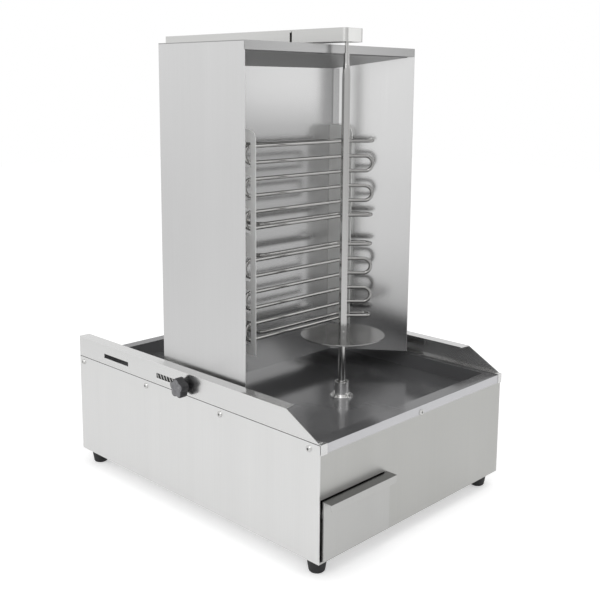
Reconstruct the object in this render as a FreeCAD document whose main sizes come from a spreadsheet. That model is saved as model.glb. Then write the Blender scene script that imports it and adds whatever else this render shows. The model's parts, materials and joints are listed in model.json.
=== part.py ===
import FreeCAD, Part
import math
import os
import re
import Sketcher
from FreeCAD import Placement, Rotation, Vector

# An electric doner kebab grill: a wide base with a drip tray and a grease drawer, a heating
# tower that slides on the base, and a driven spit held at its top by a folding arm.
# Millimetres, +Z up, the front faces -Y, the origin is on the floor under the middle of the base.

doc = FreeCAD.newDocument("doner_kebab_grill")

# Driving dimensions. Distances along the depth are taken from the front of the base.
driving = {
    # base
    "base_width": 450, "base_depth": 592, "seam_height": 200, "wall": 1.5, "floor_flange": 36,
    "floor_fold": 10, "floor_vent_right": 60, "rear_vent_left": 30,
    "foot_height": 25, "foot_top": 15.5, "foot_bottom": 12, "foot_edge": 2, "foot_inset": 22,
    "foot_setback": 24, "foot_rear_setback": 23, "foot_stud": 3, "foot_stud_rise": 3,
    "join_gap": 0.1, "slide_gap": 0.3, "run_gap": 0.05,
    "screw_head": 4.75, "screw_head_rise": 2.6, "screw_rim_rise": 1, "screw_crown": 3.8,
    "screw_crown_rise": 2.2, "screw_flat": 1.9, "screw_recess": 1.4, "screw_shank": 2,
    "screw_drop": 10, "screw_length": 7, "screw_setback": 21, "screw_rear_setback": 11, "screw_count": 4,
    # drip tray
    "tray_sheet": 1.2, "tray_depth": 24, "rim_width": 20, "front_rim_width": 22.7, "rim_fold": 13.6,
    "side_fold": 17, "drain_radius": 10, "drain_left": 150, "drain_setback": 235, "drain_spout": 8,
    # guards
    "guard_height": 36, "guard_cut": 65.5, "lip_width": 20, "lip_lead": -4, "guard_foot": 8.5,
    "guard_foot_lead": 4, "slot_height": 8, "slot_rise": 15, "slot_setback": 286, "slot_length": 79,
    "rear_slot_setback": 444, "rear_slot_length": 71,
    "corner_tab_left": 13, "corner_tab_right": 10, "corner_tab_drop": 14.6, "tab_sheet": 1,
    # drawer
    "bay_right": 84.5, "bay_low": 3, "bay_top": 120, "bay_wall_gap": 2.5, "bay_wall_past": 12,
    "bay_wall_drop": 2, "drawer_left": 220, "drawer_right": 77, "drawer_low": 30, "drawer_top": 118,
    "drawer_proud": 5, "drawer_sheet": 1.2, "lip_reach": 18, "lip_drop": 12, "lip_round": 5,
    "box_depth": 276, "box_left_gap": 7, "box_side_gap": 6, "box_top": 101.2, "box_flange": 5,
    "runner_sheet": 1.5, "runner_height": 16, "runner_grip": 4.3, "runner_past": 4,
    "vent_width": 6, "vent_length": 60, "vent_pitch": 14, "vent_count": 6,
    # drive
    "spit_setback": 161.6, "shaft_radius": 6, "socket_radius": 12, "socket_height": 24.4,
    "socket_lift": 0.6, "socket_cup": 8.4, "socket_cup_depth": 8, "seat_drop": 2, "key_width": 4.4,
    "key_depth": 7, "key_turn": -45, "pin_radius": 2, "pin_length": 23, "pin_rest": 0.2,
    "seal_radius": 11, "seal_drop": 0.2, "ring_radius": 19, "ring_thick": 2, "ring_gap": 0.6,
    "ring_screw_head": 2.7, "ring_screw_rise": 3, "ring_screw_shank": 1.5, "ring_screw_hole": 1.6,
    "bearing_radius": 14, "bearing_width": 8, "boss_wall": 3, "case_wall": 3, "case_top": 4,
    "case_height": 52, "cover_thick": 3, "gear_module": 1.5, "gear_teeth": 48, "pinion_teeth": 12,
    "gear_width": 10, "pinion_width": 13, "pinion_lead": 1.5, "gear_rise": 16, "gear_backlash": 0.25,
    "case_gap": 4, "motor_radius": 28, "motor_height": 58, "motor_shaft": 3, "motor_shaft_room": 1,
    "motor_bore_depth": 12, "motor_end_gap": 1,
    # spit
    "disc_height": 281.4, "disc_radius": 68.5, "disc_sheet": 2, "bar_side": 10, "bar_turn": 63,
    "bar_top": 694, "taper_top": 718, "collar_radius": 4.7, "collar_top": 732, "tip_radius": 3,
    "tip_top": 760, "disc_pin_rise": 5, "disc_pin_radius": 1.5, "disc_pin_length": 11,
    # arm
    "arm_width": 45, "arm_height": 21, "arm_gap": 3.5, "arm_front": 145, "arm_joint": 262.25,
    "arm_slit": 5, "arm_round": 8, "arm_wall": 2, "knuckle_radius": 2.2, "knuckle_half": 7,
    "knuckle_root": 1, "hinge_pin": 1.2, "post_width": 40, "post_depth": 20, "post_inset": 2,
    "post_wall": 2, "arm_slot_back": 2,
    # tower
    "tower_front": 180, "tower_width": 395, "tower_depth": 200, "tower_lift": 7.5,
    "tower_height": 537.5, "tower_sheet": 1.2, "fascia": 13.5, "hem_width": 8, "rear_fold": 12,
    "cover_vent_half": 60, "cover_vent_low": 90, "cover_vent_pitch": 35, "vent_rows": 7,
    "back_recess": 110, "back_inset": 85.5, "reflector_sheet": 1, "band_width": 10,
    "ceiling_fall": 20, "wing_clear": 1.2,
    # heating elements
    "tube_radius": 3.2, "pass_pitch": 25.5, "pass_count": 6, "tube_recess": 54,
    "return_recess": 75, "upper_rise": 382, "lower_rise": 203.5, "bend_inset": 48.7,
    "side_bend_inset": 117.5, "side_bend_radius": 20, "side_bend_angle": 45, "side_reach": 34.5,
    "terminal_inset": 100.5, "terminal_bend": 12, "terminal_length": 12,
    "bush_radius": 6, "bush_step": 1, "bush_head": 2, "bush_length": 8, "block_height": 30,
    "block_depth": 22,
    # element brackets
    "bracket_sheet": 1.2, "left_bracket_inset": 55.5, "left_bracket_front": 37, "bracket_low": 54.5,
    "bracket_high": 407.5, "bracket_corner": 14, "bracket_ease": 4, "slot_front": 5.5,
    "slot_tall": 38, "right_bracket_inset": 93.5, "bracket_hole": 5.2, "hook_hole": 1.6,
    "hook_hole_in": 6,
    # slide brackets and clamps
    "carrier_front": 272, "carrier_rear": 437, "front_tab": 36, "rear_tab": 69, "carrier_sheet": 1.5,
    "carrier_inset": 32.5, "carrier_web_inset": 9.7, "tab_height": 24, "nut_side": 10, "nut_thick": 5,
    "nut_room": 1.5, "knob_setback": 290, "stud_radius": 3, "stud_tail": 3, "hub_radius": 7,
    "hub_length": 5, "knob_radius": 13, "lobe_radius": 5, "lobe_count": 5, "lobe_orbit": 11.5,
    "knob_thick": 14,
    # controls and cable gland
    "control_height": 112, "control_front": 90, "control_pitch": 62, "dial_radius": 20,
    "dial_thick": 17, "dial_skirt": 3, "dial_gap": 0.6, "dial_boss": 14.4, "dial_boss_rise": 10.2,
    "dial_grip_half": 4, "dial_grip_reach": 17, "control_body": 38, "control_body_depth": 30,
    "spindle_radius": 3, "spindle_depth": 12, "spindle_room": 2, "switch_width": 22,
    "switch_height": 30, "switch_depth": 26, "switch_wall": 2, "switch_rim": 2.4,
    "bezel_thick": 1.2, "bezel_wall": 1.2, "rocker_side_gap": 0.4, "rocker_inset": 2.4,
    "rocker_end_gap": 3.2, "rocker_proud": 2.5, "rocker_crown": 1, "rocker_dip": 1.2,
    "rocker_foot": 4, "rocker_foot_half": 5, "rocker_tilt": 8, "pivot_depth": 4, "pivot_radius": 1.5,
    "gland_radius": 11, "gland_reach": 18, "gland_bore": 4.5, "gland_height": 70, "gland_left": 120,
    "gland_nut": 8.8, "gland_nut_depth": 8, "gland_neck": 6.6, "gland_collar": 5, "gland_cap": 9.02,
}

# Places worked out from the driving dimensions.
derived = {
    "front_y": "-base_depth / 2",
    "rear_y": "base_depth / 2",
    "half_width": "base_width / 2",
    "inner_half": "half_width - wall - join_gap",
    "floor_low": "foot_height + wall",
    "floor_top": "foot_height + 2 * wall",
    "rim_low": "seam_height - tray_sheet",
    "panel_top": "rim_low - join_gap",
    "tray_half": "inner_half - rim_width + join_gap + wall",
    "tray_front_y": "front_y + front_rim_width",
    "tray_rear_y": "rear_y - rim_width",
    "tray_floor": "seam_height - tray_depth",
    "tray_under": "tray_floor - tray_sheet",
    "screw_z": "seam_height - screw_drop",
    "screw_step": "(base_depth - screw_setback - screw_rear_setback) / (screw_count - 1)",
    "guard_low": "seam_height + join_gap",
    "guard_top": "seam_height + guard_height",
    "slot_y": "front_y + slot_setback",
    "rear_slot_y": "front_y + rear_slot_setback",
    "slot_z": "seam_height + slot_rise",
    "bay_floor": "foot_height + bay_low",
    "box_left": "half_width - wall - box_left_gap",
    "box_right": "bay_right + box_side_gap",
    "box_low": "drawer_low + drawer_sheet",
    "box_front_y": "front_y - drawer_proud + drawer_sheet",
    "box_rear_y": "front_y + box_depth",
    "spit_y": "front_y + spit_setback",
    "socket_low": "tray_floor + socket_lift",
    "socket_top": "socket_low + socket_height",
    "seat_z": "socket_low + socket_height / 2 - seat_drop",
    "case_low": "tray_under - case_height",
    "cover_low": "case_low - cover_thick",
    "gear_low": "case_low + gear_rise",
    "gear_reach": "gear_module * (gear_teeth + pinion_teeth) / 2",
    "gear_tip": "gear_module * (gear_teeth / 2 + 1)",
    "pinion_tip": "gear_module * (pinion_teeth / 2 + 1)",
    "case_left": "-(gear_tip + case_gap + case_wall)",
    "case_right": "gear_reach + pinion_tip + case_gap + case_wall",
    "case_half": "gear_tip + case_gap + case_wall",
    "tower_y": "front_y + tower_front",
    "tower_rear": "tower_y + tower_depth",
    "tower_half": "tower_width / 2",
    "tower_inner": "tower_half - tower_sheet",
    "tower_low": "seam_height + tower_lift",
    "tower_top": "tower_low + tower_height",
    "back_y": "tower_y + back_recess",
    "back_half": "tower_half - back_inset",
    "wing_run": "sqrt((tower_inner - back_half) ^ 2 + back_recess ^ 2)",
    "wing_in": "(tower_inner - back_half) / wing_run",
    "wing_back": "back_recess / wing_run",
    "ceiling_front": "tower_top - fascia",
    "ceiling_rear": "ceiling_front - ceiling_fall",
    "arm_low": "tower_top + arm_gap",
    "arm_top": "arm_low + arm_height",
    "joint_y": "front_y + arm_joint",
    "joint_z": "arm_top - knuckle_radius",
    "post_y": "rear_y - post_inset - post_depth",
    "tube_y": "tower_y + tube_recess",
    "side_bend_x": "tower_half - side_bend_inset",
    "return_radius": "side_bend_radius + return_recess - tube_recess",
    "terminal_left": "tower_half - terminal_inset",
    "left_bracket": "tower_half - left_bracket_inset",
    "right_bracket": "tower_half - right_bracket_inset",
    "carrier_y": "front_y + carrier_front",
    "carrier_end": "front_y + carrier_rear",
    "tab_outer": "half_width - wall - slide_gap",
    "tab_inner": "tab_outer - carrier_sheet",
    "carrier_web": "tab_outer - carrier_web_inset",
    "carrier_inner": "tower_half - carrier_inset",
    "foot_rest": "guard_low + wall + run_gap",
    "knob_y": "front_y + knob_setback",
    "knob_face": "half_width + run_gap + hub_length",
    "pivot_x": "half_width - wall - pivot_depth",
}

# How far a cutting piece runs past the faces that it cuts, and half of a drill through thin sheet.
cutting = {"past": 1, "through": 6}

sheet = doc.addObject("Spreadsheet::Sheet", "sizes")
for row, (alias, number) in enumerate(driving.items(), start=1):
    sheet.set(f"A{row}", alias)
    sheet.set(f"B{row}", str(number))
    sheet.setAlias(f"B{row}", alias)
doc.recompute()

words = re.compile(r"[a-z]+(?:_[a-z]+)*")
nodes = {}
seed = 100


def size(alias):
    return float(sheet.get(alias))


def count(alias):
    return int(size(alias))


def bound(text):
    # names of sizes and places in a formula become references to the sheet
    def swap(found):
        word = found.group(0)
        if word in derived:
            return "(" + bound(derived[word]) + ")"
        if word in cutting:
            return str(cutting[word])
        if word in driving:
            return "sizes." + word
        return word
    return words.sub(swap, str(text))


def node(name, piece):
    piece.Label = name
    nodes[name] = piece
    return piece


def place(piece, x="0", y="0", z="0", turn=None):
    if turn:
        piece.Placement = Placement(Vector(), turn)
    for axis, text in (("x", x), ("y", y), ("z", z)):
        piece.setExpression("Placement.Base." + axis, bound(text))
    return piece


def block(x, y, z, name="block"):
    # a box from its low to its high face along each axis
    piece = doc.addObject("Part::Box", name)
    for side, span in (("Length", x), ("Width", y), ("Height", z)):
        piece.setExpression(side, bound(f"({span[1]}) - ({span[0]})"))
    return place(piece, x[0], y[0], z[0])


turns = {
    "x": Rotation(Vector(0, 1, 0), 90),
    "y": Rotation(Vector(1, 0, 0), -90),
    "z": Rotation(),
}


def rod(axis, centre, span, radius, name="rod"):
    # a cylinder along one axis, its centre given on the other two
    piece = doc.addObject("Part::Cylinder", name)
    piece.setExpression("Radius", bound(radius))
    piece.setExpression("Height", bound(f"({span[1]}) - ({span[0]})"))
    at = list(centre)
    at.insert("xyz".index(axis), span[0])
    return place(piece, at[0], at[1], at[2], turns[axis])


def cone(centre, span, low_radius, high_radius, name="cone"):
    piece = doc.addObject("Part::Cone", name)
    piece.setExpression("Radius1", bound(low_radius))
    piece.setExpression("Radius2", bound(high_radius))
    piece.setExpression("Height", bound(f"({span[1]}) - ({span[0]})"))
    return place(piece, centre[0], centre[1], span[0])


def join(*pieces, name="joined"):
    piece = doc.addObject("Part::MultiFuse", name)
    piece.Shapes = list(pieces)
    piece.Refine = True
    return piece


def group(*pieces, name="group"):
    piece = doc.addObject("Part::Compound", name)
    piece.Links = list(pieces)
    return piece


def cut(base, *tools, name="cut"):
    piece = doc.addObject("Part::Cut", name)
    piece.Base = base
    piece.Tool = tools[0] if len(tools) == 1 else join(*tools)
    piece.Refine = True
    return piece


def common(base, tool, name="common"):
    piece = doc.addObject("Part::Common", name)
    piece.Base = base
    piece.Tool = tool
    return piece


def mirrored(source, name="mirrored"):
    piece = doc.addObject("Part::Mirroring", name)
    piece.Source = source
    piece.Normal = Vector(1, 0, 0)
    return piece


def polygon(sketch, outline):
    # straight edges through corners whose distances are bound to the sheet
    first = sketch.GeometryCount
    total = len(outline)
    step = 2 * math.pi / total
    spots = [Vector(seed * math.cos(step * k), seed * math.sin(step * k)) for k in range(total)]
    for k in range(total):
        sketch.addGeometry(Part.LineSegment(spots[k], spots[(k + 1) % total]), False)
    for k in range(total):
        after = first + (k + 1) % total
        sketch.addConstraint(Sketcher.Constraint("Coincident", first + k, 2, after, 1))
    for k, corner in enumerate(outline):
        for kind, start, text in (("DistanceX", spots[k].x, corner[0]), ("DistanceY", spots[k].y, corner[1])):
            index = sketch.addConstraint(Sketcher.Constraint(kind, -1, 1, first + k, 1, start))
            sketch.setExpression(f"Constraints[{index}]", bound(text))


def circle(sketch, across, up, radius):
    index = sketch.addGeometry(Part.Circle(Vector(10, 10, 0), Vector(0, 0, 1), 1), False)
    for kind, text in (("DistanceX", across), ("DistanceY", up)):
        place_of = sketch.addConstraint(Sketcher.Constraint(kind, -1, 1, index, 3, 10))
        sketch.setExpression(f"Constraints[{place_of}]", bound(text))
    radius_of = sketch.addConstraint(Sketcher.Constraint("Radius", index, 1))
    sketch.setExpression(f"Constraints[{radius_of}]", bound(radius))


def sketch_on(body, plane, height):
    # the XZ plane of a body looks along -Y, so its offset is turned round
    sketch = body.newObject("Sketcher::SketchObject", "outline")
    origin_plane = [f for f in body.Origin.OriginFeatures if f.Role == plane + "_Plane"][0]
    sketch.AttachmentSupport = [(origin_plane, "")]
    sketch.MapMode = "FlatFace"
    sign = "-" if plane == "XZ" else ""
    sketch.setExpression("AttachmentOffset.Base.z", bound(f"{sign}({height})"))
    return sketch


def profile(plane, span, outline, holes=(), name="profile"):
    # an outline padded along the third axis, with openings cut right through
    body = doc.addObject("PartDesign::Body", name)
    sketch = sketch_on(body, plane, span[0])
    polygon(sketch, outline)
    pad = body.newObject("PartDesign::Pad", "pad")
    pad.Profile = sketch
    pad.setExpression("Length", bound(f"({span[1]}) - ({span[0]})"))
    pad.Reversed = plane == "XZ"
    if holes:
        openings = sketch_on(body, plane, f"({span[0]}) - past")
        for hole in holes:
            if len(hole) == 3:
                circle(openings, *hole)
            else:
                polygon(openings, hole)
        pocket = body.newObject("PartDesign::Pocket", "openings")
        pocket.Profile = openings
        pocket.setExpression("Length", bound(f"({span[1]}) - ({span[0]}) + 2 * past"))
        pocket.Reversed = plane != "XZ"
    return body


def turned(outline, x, y, z, turn=None, name="turned"):
    # a half outline of radius and height spun about its own vertical axis
    body = doc.addObject("PartDesign::Body", name)
    sketch = sketch_on(body, "XZ", "0")
    polygon(sketch, outline)
    spin = body.newObject("PartDesign::Revolution", "spin")
    spin.Profile = sketch
    spin.ReferenceAxis = (sketch, ["V_Axis"])
    spin.Angle = 360
    return place(body, x, y, z, turn)


def rectangle(across, up):
    return [(across[0], up[0]), (across[1], up[0]), (across[1], up[1]), (across[0], up[1])]


def mirror_outline(outline):
    return [(f"-({across})", up) for across, up in outline]


# Base

vent_slots = [rectangle((f"floor_vent_right + vent_pitch * {k}",
                         f"floor_vent_right + vent_pitch * {k} + vent_width"),
                        ("spit_y - vent_length / 2", "spit_y + vent_length / 2"))
              for k in range(count("vent_count"))]
foot_places = [(side + "(half_width - foot_inset)", depth)
               for side in ("-", "")
               for depth in ("front_y + foot_setback", "rear_y - foot_rear_setback")]
foot_holes = [(x, y, "foot_stud + join_gap") for x, y in foot_places]
floor_sheet = profile("XY", ("floor_low", "floor_top"),
                      rectangle(("-inner_half", "inner_half"), ("front_y + wall", "rear_y - wall")),
                      foot_holes + vent_slots, name="floor_sheet")
floor_rear_fold = block(("-inner_half", "inner_half"),
                        ("rear_y - 2 * wall - join_gap", "rear_y - wall - join_gap"),
                        ("floor_low", "floor_top + floor_fold"))
node("floor_plate", join(floor_sheet, floor_rear_fold))

side_outline = [
    ("-half_width", "foot_height"), ("-half_width + floor_flange", "foot_height"),
    ("-half_width + floor_flange", "floor_low"), ("-half_width + wall", "floor_low"),
    ("-half_width + wall", "seam_height - join_gap"), ("-half_width", "seam_height - join_gap"),
]
screw_places = [f"front_y + screw_setback + screw_step * {k}" for k in range(count("screw_count"))]


def side_panel(sign):
    outline = side_outline if sign == "-" else mirror_outline(side_outline)
    sheet_body = profile("XZ", ("front_y", "rear_y"), outline)
    drills = [rod("x", (y, "screw_z"), (f"{sign}half_width - through", f"{sign}half_width + through"),
                  "screw_shank + join_gap") for y in screw_places]
    drills += [rod("z", (x, y), ("foot_height - past", "floor_low + past"), "foot_stud + join_gap")
               for x, y in foot_places if (x[0] == "-") == (sign == "-")]
    inner, outer = f"{sign}(half_width - floor_flange - past)", f"{sign}inner_half"
    flange = (outer, inner) if sign == "-" else (inner, outer)
    drills += [block(flange, ends, ("foot_height - past", "floor_low + past"))
               for ends in (("front_y - past", "front_y + wall + join_gap"),
                            ("rear_y - wall - join_gap", "rear_y + past"))]
    return sheet_body, drills


left_sheet, left_drills = side_panel("-")
node("side_panel_left", cut(left_sheet, *left_drills))

control_places = [f"front_y + control_front + control_pitch * {k}" for k in range(3)]
right_sheet, right_drills = side_panel("")
right_drills += [rod("x", (y, "control_height"), ("half_width - through", "half_width + through"),
                     "spindle_radius + dial_gap") for y in control_places[:2]]
right_drills.append(block(("half_width - through", "half_width + through"),
                          (f"{control_places[2]} - switch_width / 2 + rocker_side_gap",
                           f"{control_places[2]} + switch_width / 2 - rocker_side_gap"),
                          ("control_height - switch_height / 2 + rocker_side_gap",
                           "control_height + switch_height / 2 - rocker_side_gap")))
node("side_panel_right", cut(right_sheet, *right_drills))

front_outline = [
    ("-inner_half", "foot_height"), ("inner_half", "foot_height"), ("inner_half", "panel_top"),
    ("-inner_half", "panel_top"), ("-inner_half", "bay_top"), ("-bay_right", "bay_top"),
    ("-bay_right", "bay_floor"), ("-inner_half", "bay_floor"),
]
node("front_panel", profile("XZ", ("front_y", "front_y + wall"), front_outline,
                            [("0", "screw_z", "screw_shank + join_gap")]))

rear_vents = [rectangle((f"-rear_vent_left + vent_pitch * {k}",
                         f"-rear_vent_left + vent_pitch * {k} + vent_width"),
                        ("gland_height - vent_length / 2", "gland_height + vent_length / 2"))
              for k in range(count("vent_count"))]
rear_screws = ["-half_width / 2", "half_width / 2"]
rear_holes = [(x, "screw_z", "screw_shank + join_gap") for x in rear_screws]
rear_holes.append(("-gland_left", "gland_height", "gland_neck + join_gap"))
node("rear_panel", profile("XZ", ("rear_y - wall", "rear_y"),
                           rectangle(("-inner_half", "inner_half"), ("foot_height", "panel_top")),
                           rear_holes + rear_vents))

foot_outline = [
    ("0", "0"), ("foot_bottom - foot_edge", "0"), ("foot_bottom", "foot_edge"),
    ("foot_top", "foot_height - foot_edge"), ("foot_top - foot_edge / 2", "foot_height"),
    ("foot_stud", "foot_height"), ("foot_stud", "floor_top + foot_stud_rise"),
    ("0", "floor_top + foot_stud_rise"),
]
node("feet", group(*[turned(foot_outline, x, y, "0") for x, y in foot_places]))

screw_outline = [
    ("0", "-screw_length"), ("screw_shank", "-screw_length"), ("screw_shank", "0"),
    ("screw_head", "0"), ("screw_head", "screw_rim_rise"), ("screw_crown", "screw_crown_rise"),
    ("screw_flat", "screw_head_rise"), ("screw_recess", "screw_rim_rise"), ("0", "screw_rim_rise"),
]
facing = {
    "left": Rotation(Vector(0, 1, 0), -90),
    "right": Rotation(Vector(0, 1, 0), 90),
    "front": Rotation(Vector(1, 0, 0), 90),
    "rear": Rotation(Vector(1, 0, 0), -90),
}
screws = [turned(screw_outline, "-half_width", y, "screw_z", facing["left"]) for y in screw_places]
screws += [turned(screw_outline, "half_width", y, "screw_z", facing["right"]) for y in screw_places]
screws.append(turned(screw_outline, "0", "front_y - tray_sheet", "screw_z", facing["front"]))
screws += [turned(screw_outline, x, "rear_y + tray_sheet", "screw_z", facing["rear"])
           for x in rear_screws]
node("panel_screws", group(*screws))

# Drip tray with its folded rim, which covers the tops of the panels

rim = block(("-inner_half", "inner_half"), ("front_y - tray_sheet", "rear_y + tray_sheet"),
            ("rim_low", "seam_height"))
front_fold = block(("-inner_half", "inner_half"), ("front_y - tray_sheet", "front_y"),
                   ("seam_height - rim_fold", "seam_height"))
rear_fold = block(("-inner_half", "inner_half"), ("rear_y", "rear_y + tray_sheet"),
                  ("seam_height - rim_fold", "seam_height"))
side_folds = [block(x, ("front_y + 2 * wall", "rear_y - 2 * wall"),
                    ("seam_height - side_fold", "seam_height"))
              for x in (("-inner_half", "-inner_half + tray_sheet"),
                        ("inner_half - tray_sheet", "inner_half"))]
pan = block(("-tray_half - tray_sheet", "tray_half + tray_sheet"),
            ("tray_front_y - tray_sheet", "tray_rear_y + tray_sheet"), ("tray_under", "seam_height"))
spout = rod("z", ("-drain_left", "front_y + drain_setback"), ("tray_under - drain_spout", "tray_under"),
            "drain_radius + tray_sheet")
hollow = block(("-tray_half", "tray_half"), ("tray_front_y", "tray_rear_y"),
               ("tray_floor", "seam_height + past"))
tray_cut = ("tray_under - past", "tray_floor + past")
shaft_hole = rod("z", ("0", "spit_y"), tray_cut, "seal_radius + join_gap")
drain = rod("z", ("-drain_left", "front_y + drain_setback"),
            ("tray_under - drain_spout - past", "tray_floor + past"), "drain_radius")
tray_drills = [rod("x", (y, "screw_z"), (f"{sign}half_width - through", f"{sign}half_width + through"),
                   "screw_shank + join_gap") for y in screw_places for sign in ("-", "")]
tray_drills.append(rod("y", ("0", "screw_z"), ("front_y - through", "front_y + through"),
                       "screw_shank + join_gap"))
tray_drills += [rod("y", (x, "screw_z"), ("rear_y - through", "rear_y + through"),
                    "screw_shank + join_gap") for x in rear_screws]
ring_screw_orbit = "(ring_radius + socket_radius + ring_gap) / 2"
ring_screw_angles = [90 * k for k in range(4)]


def ring_rods(span, radius):
    # one upright rod at each screw of the flange ring
    return [rod("z", (f"{ring_screw_orbit} * cos({angle} * 1 deg)",
                      f"spit_y + {ring_screw_orbit} * sin({angle} * 1 deg)"), span, radius)
            for angle in ring_screw_angles]


ring_drills = ring_rods(tray_cut, "ring_screw_hole")
node("drip_tray", cut(join(rim, front_fold, rear_fold, *side_folds, pan, spout),
                      hollow, shaft_hole, drain, *tray_drills, *ring_drills))


# Guards: low side walls of the base, each with a slot for the tower's clamp and one behind it

guard_outline = [
    ("front_y", "guard_low"), ("rear_y", "guard_low"), ("rear_y", "guard_top"),
    ("front_y + guard_cut", "guard_top"),
]
slot_rise_span = ("slot_z - slot_height / 2", "slot_z + slot_height / 2")
guard_slots = [rectangle(("slot_y", "slot_y + slot_length"), slot_rise_span),
               rectangle(("rear_slot_y", "rear_slot_y + rear_slot_length"), slot_rise_span)]


def guard(tab_width):
    # modelled on the left, where the outer face is at -half_width
    web = profile("YZ", ("-half_width", "-half_width + wall"), guard_outline, guard_slots)
    lip = profile("XY", ("guard_top - wall", "guard_top"), [
        ("-half_width", "front_y + guard_cut"),
        ("-half_width + lip_width", "front_y + guard_cut - lip_lead"),
        ("-half_width + lip_width", "rear_y"), ("-half_width", "rear_y")])
    foot = block(("-half_width", "-half_width + wall + guard_foot"),
                 ("front_y + guard_foot_lead", "rear_y"), ("guard_low", "guard_low + wall"))
    tab_top = block(("-half_width", f"-half_width + {tab_width}"),
                    ("front_y - tray_sheet - tab_sheet", "front_y + guard_foot_lead"),
                    ("guard_low", "guard_low + tab_sheet"))
    tab = block(("-half_width", f"-half_width + {tab_width}"),
                ("front_y - tray_sheet - tab_sheet", "front_y - tray_sheet"),
                ("seam_height - corner_tab_drop", "guard_low + tab_sheet"))
    return join(web, lip, foot, tab_top, tab)


node("guard_left", guard("corner_tab_left"))
node("guard_right", mirrored(guard("corner_tab_right")))

# Drawer bay: the wall beside it and the two runners that hold the drawer's flanges

bay_wall_x = "-bay_right + bay_wall_gap"
node("bay_wall", block((bay_wall_x, f"{bay_wall_x} + wall"),
                       ("front_y + wall + join_gap", "box_rear_y + bay_wall_past"),
                       ("floor_top", "tray_under - bay_wall_drop")))
flange_low = "box_top - drawer_sheet"


def runner(inner, outer):
    # a channel open towards the drawer; outer is the side that is fixed
    low = f"{flange_low} - slide_gap"
    high = "box_top + slide_gap"
    web = f"{outer} + ({inner} - {outer}) / abs({inner} - {outer}) * runner_sheet"
    return profile("XZ", ("front_y + wall + join_gap", "box_rear_y + runner_past"), [
        (outer, f"{low} - runner_height / 2"), (web, f"{low} - runner_height / 2"),
        (web, f"{low} - runner_sheet"), (inner, f"{low} - runner_sheet"), (inner, low), (web, low),
        (web, high), (inner, high), (inner, f"{high} + runner_sheet"), (outer, f"{high} + runner_sheet")])


node("drawer_runners", group(
    runner("-half_width + wall + runner_sheet + runner_grip", "-half_width + wall"),
    runner(f"{bay_wall_x} - runner_sheet - runner_grip", bay_wall_x)))

# Drawer: a folded box with outward flanges and a proud front with a folded pull

box_outer = block(("-box_left", "-box_right"), ("box_front_y", "box_rear_y"), ("box_low", "box_top"))
box_hollow = block(("-box_left + drawer_sheet", "-box_right - drawer_sheet"),
                   ("box_front_y + drawer_sheet", "box_rear_y - drawer_sheet"),
                   ("box_low + drawer_sheet", "box_top + past"))
box_flanges = block(("-box_left - box_flange", "-box_right + box_flange"),
                    ("front_y + 2 * wall", "box_rear_y"), (flange_low, "box_top"))
node("drawer_box", cut(join(box_outer, box_flanges), box_hollow))

front_face_y = "front_y - drawer_proud"
shell = block(("-drawer_left", "-drawer_right"), (front_face_y, "front_y - slide_gap"),
              ("drawer_low", "drawer_top"))
shell_hollow = block(("-drawer_left + drawer_sheet", "-drawer_right - drawer_sheet"),
                     (f"{front_face_y} + drawer_sheet", "front_y"),
                     ("drawer_low + drawer_sheet", "drawer_top - drawer_sheet"))
pull_top = block(("-drawer_left", "-drawer_right"), ("front_y - lip_reach", "front_y - slide_gap"),
                 ("drawer_top - drawer_sheet", "drawer_top"))
pull_drop = block(("-drawer_left", "-drawer_right"),
                  ("front_y - lip_reach", "front_y - lip_reach + drawer_sheet"),
                  ("drawer_top - lip_drop + lip_round", "drawer_top"))
pull_low = block(("-drawer_left + lip_round", "-drawer_right - lip_round"),
                 ("front_y - lip_reach", "front_y - lip_reach + drawer_sheet"),
                 ("drawer_top - lip_drop", "drawer_top"))
pull_corners = [rod("y", (x, "drawer_top - lip_drop + lip_round"),
                    ("front_y - lip_reach", "front_y - lip_reach + drawer_sheet"), "lip_round")
                for x in ("-drawer_left + lip_round", "-drawer_right - lip_round")]
node("drawer_front", join(cut(shell, shell_hollow), pull_top, pull_drop, pull_low, *pull_corners))

# Drive under the tray: a gear pair in its case, a slow geared motor below it

case_roof = "tray_under - case_top"
case_outer = block(("case_left", "case_right"), ("spit_y - case_half", "spit_y + case_half"),
                   ("case_low", "tray_under"))
case_hollow = block(("case_left + case_wall", "case_right - case_wall"),
                    ("spit_y - case_half + case_wall", "spit_y + case_half - case_wall"),
                    ("case_low - past", case_roof))
upper_boss = rod("z", ("0", "spit_y"), (f"{case_roof} - bearing_width", case_roof),
                 "bearing_radius + boss_wall")
upper_seat = rod("z", ("0", "spit_y"), (f"{case_roof} - bearing_width - past", case_roof),
                 "bearing_radius")
seal_seat = rod("z", ("0", "spit_y"), (f"{case_roof} - past", "tray_under + past"), "seal_radius")
case_drills = ring_rods((case_roof, "tray_under + past"), "ring_screw_hole")
node("gearbox_case", cut(join(cut(case_outer, case_hollow), upper_boss),
                         upper_seat, seal_seat, *case_drills))

cover_plate = block(("case_left", "case_right"), ("spit_y - case_half", "spit_y + case_half"),
                    ("cover_low", "case_low"))
lower_boss = rod("z", ("0", "spit_y"), ("case_low", "case_low + bearing_width"), "bearing_radius + boss_wall")
lower_seat = rod("z", ("0", "spit_y"), ("case_low", "case_low + bearing_width + past"), "bearing_radius")
shaft_way = rod("z", ("gear_reach", "spit_y"), ("cover_low - past", "case_low + past"),
                "motor_shaft + motor_shaft_room")
node("gearbox_cover", cut(join(cover_plate, lower_boss), lower_seat, shaft_way))


def bearing(low):
    race = rod("z", ("0", "spit_y"), (low, f"{low} + bearing_width"), "bearing_radius")
    bore = rod("z", ("0", "spit_y"), (f"{low} - past", f"{low} + bearing_width + past"),
               "shaft_radius + run_gap")
    return cut(race, bore)


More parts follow.
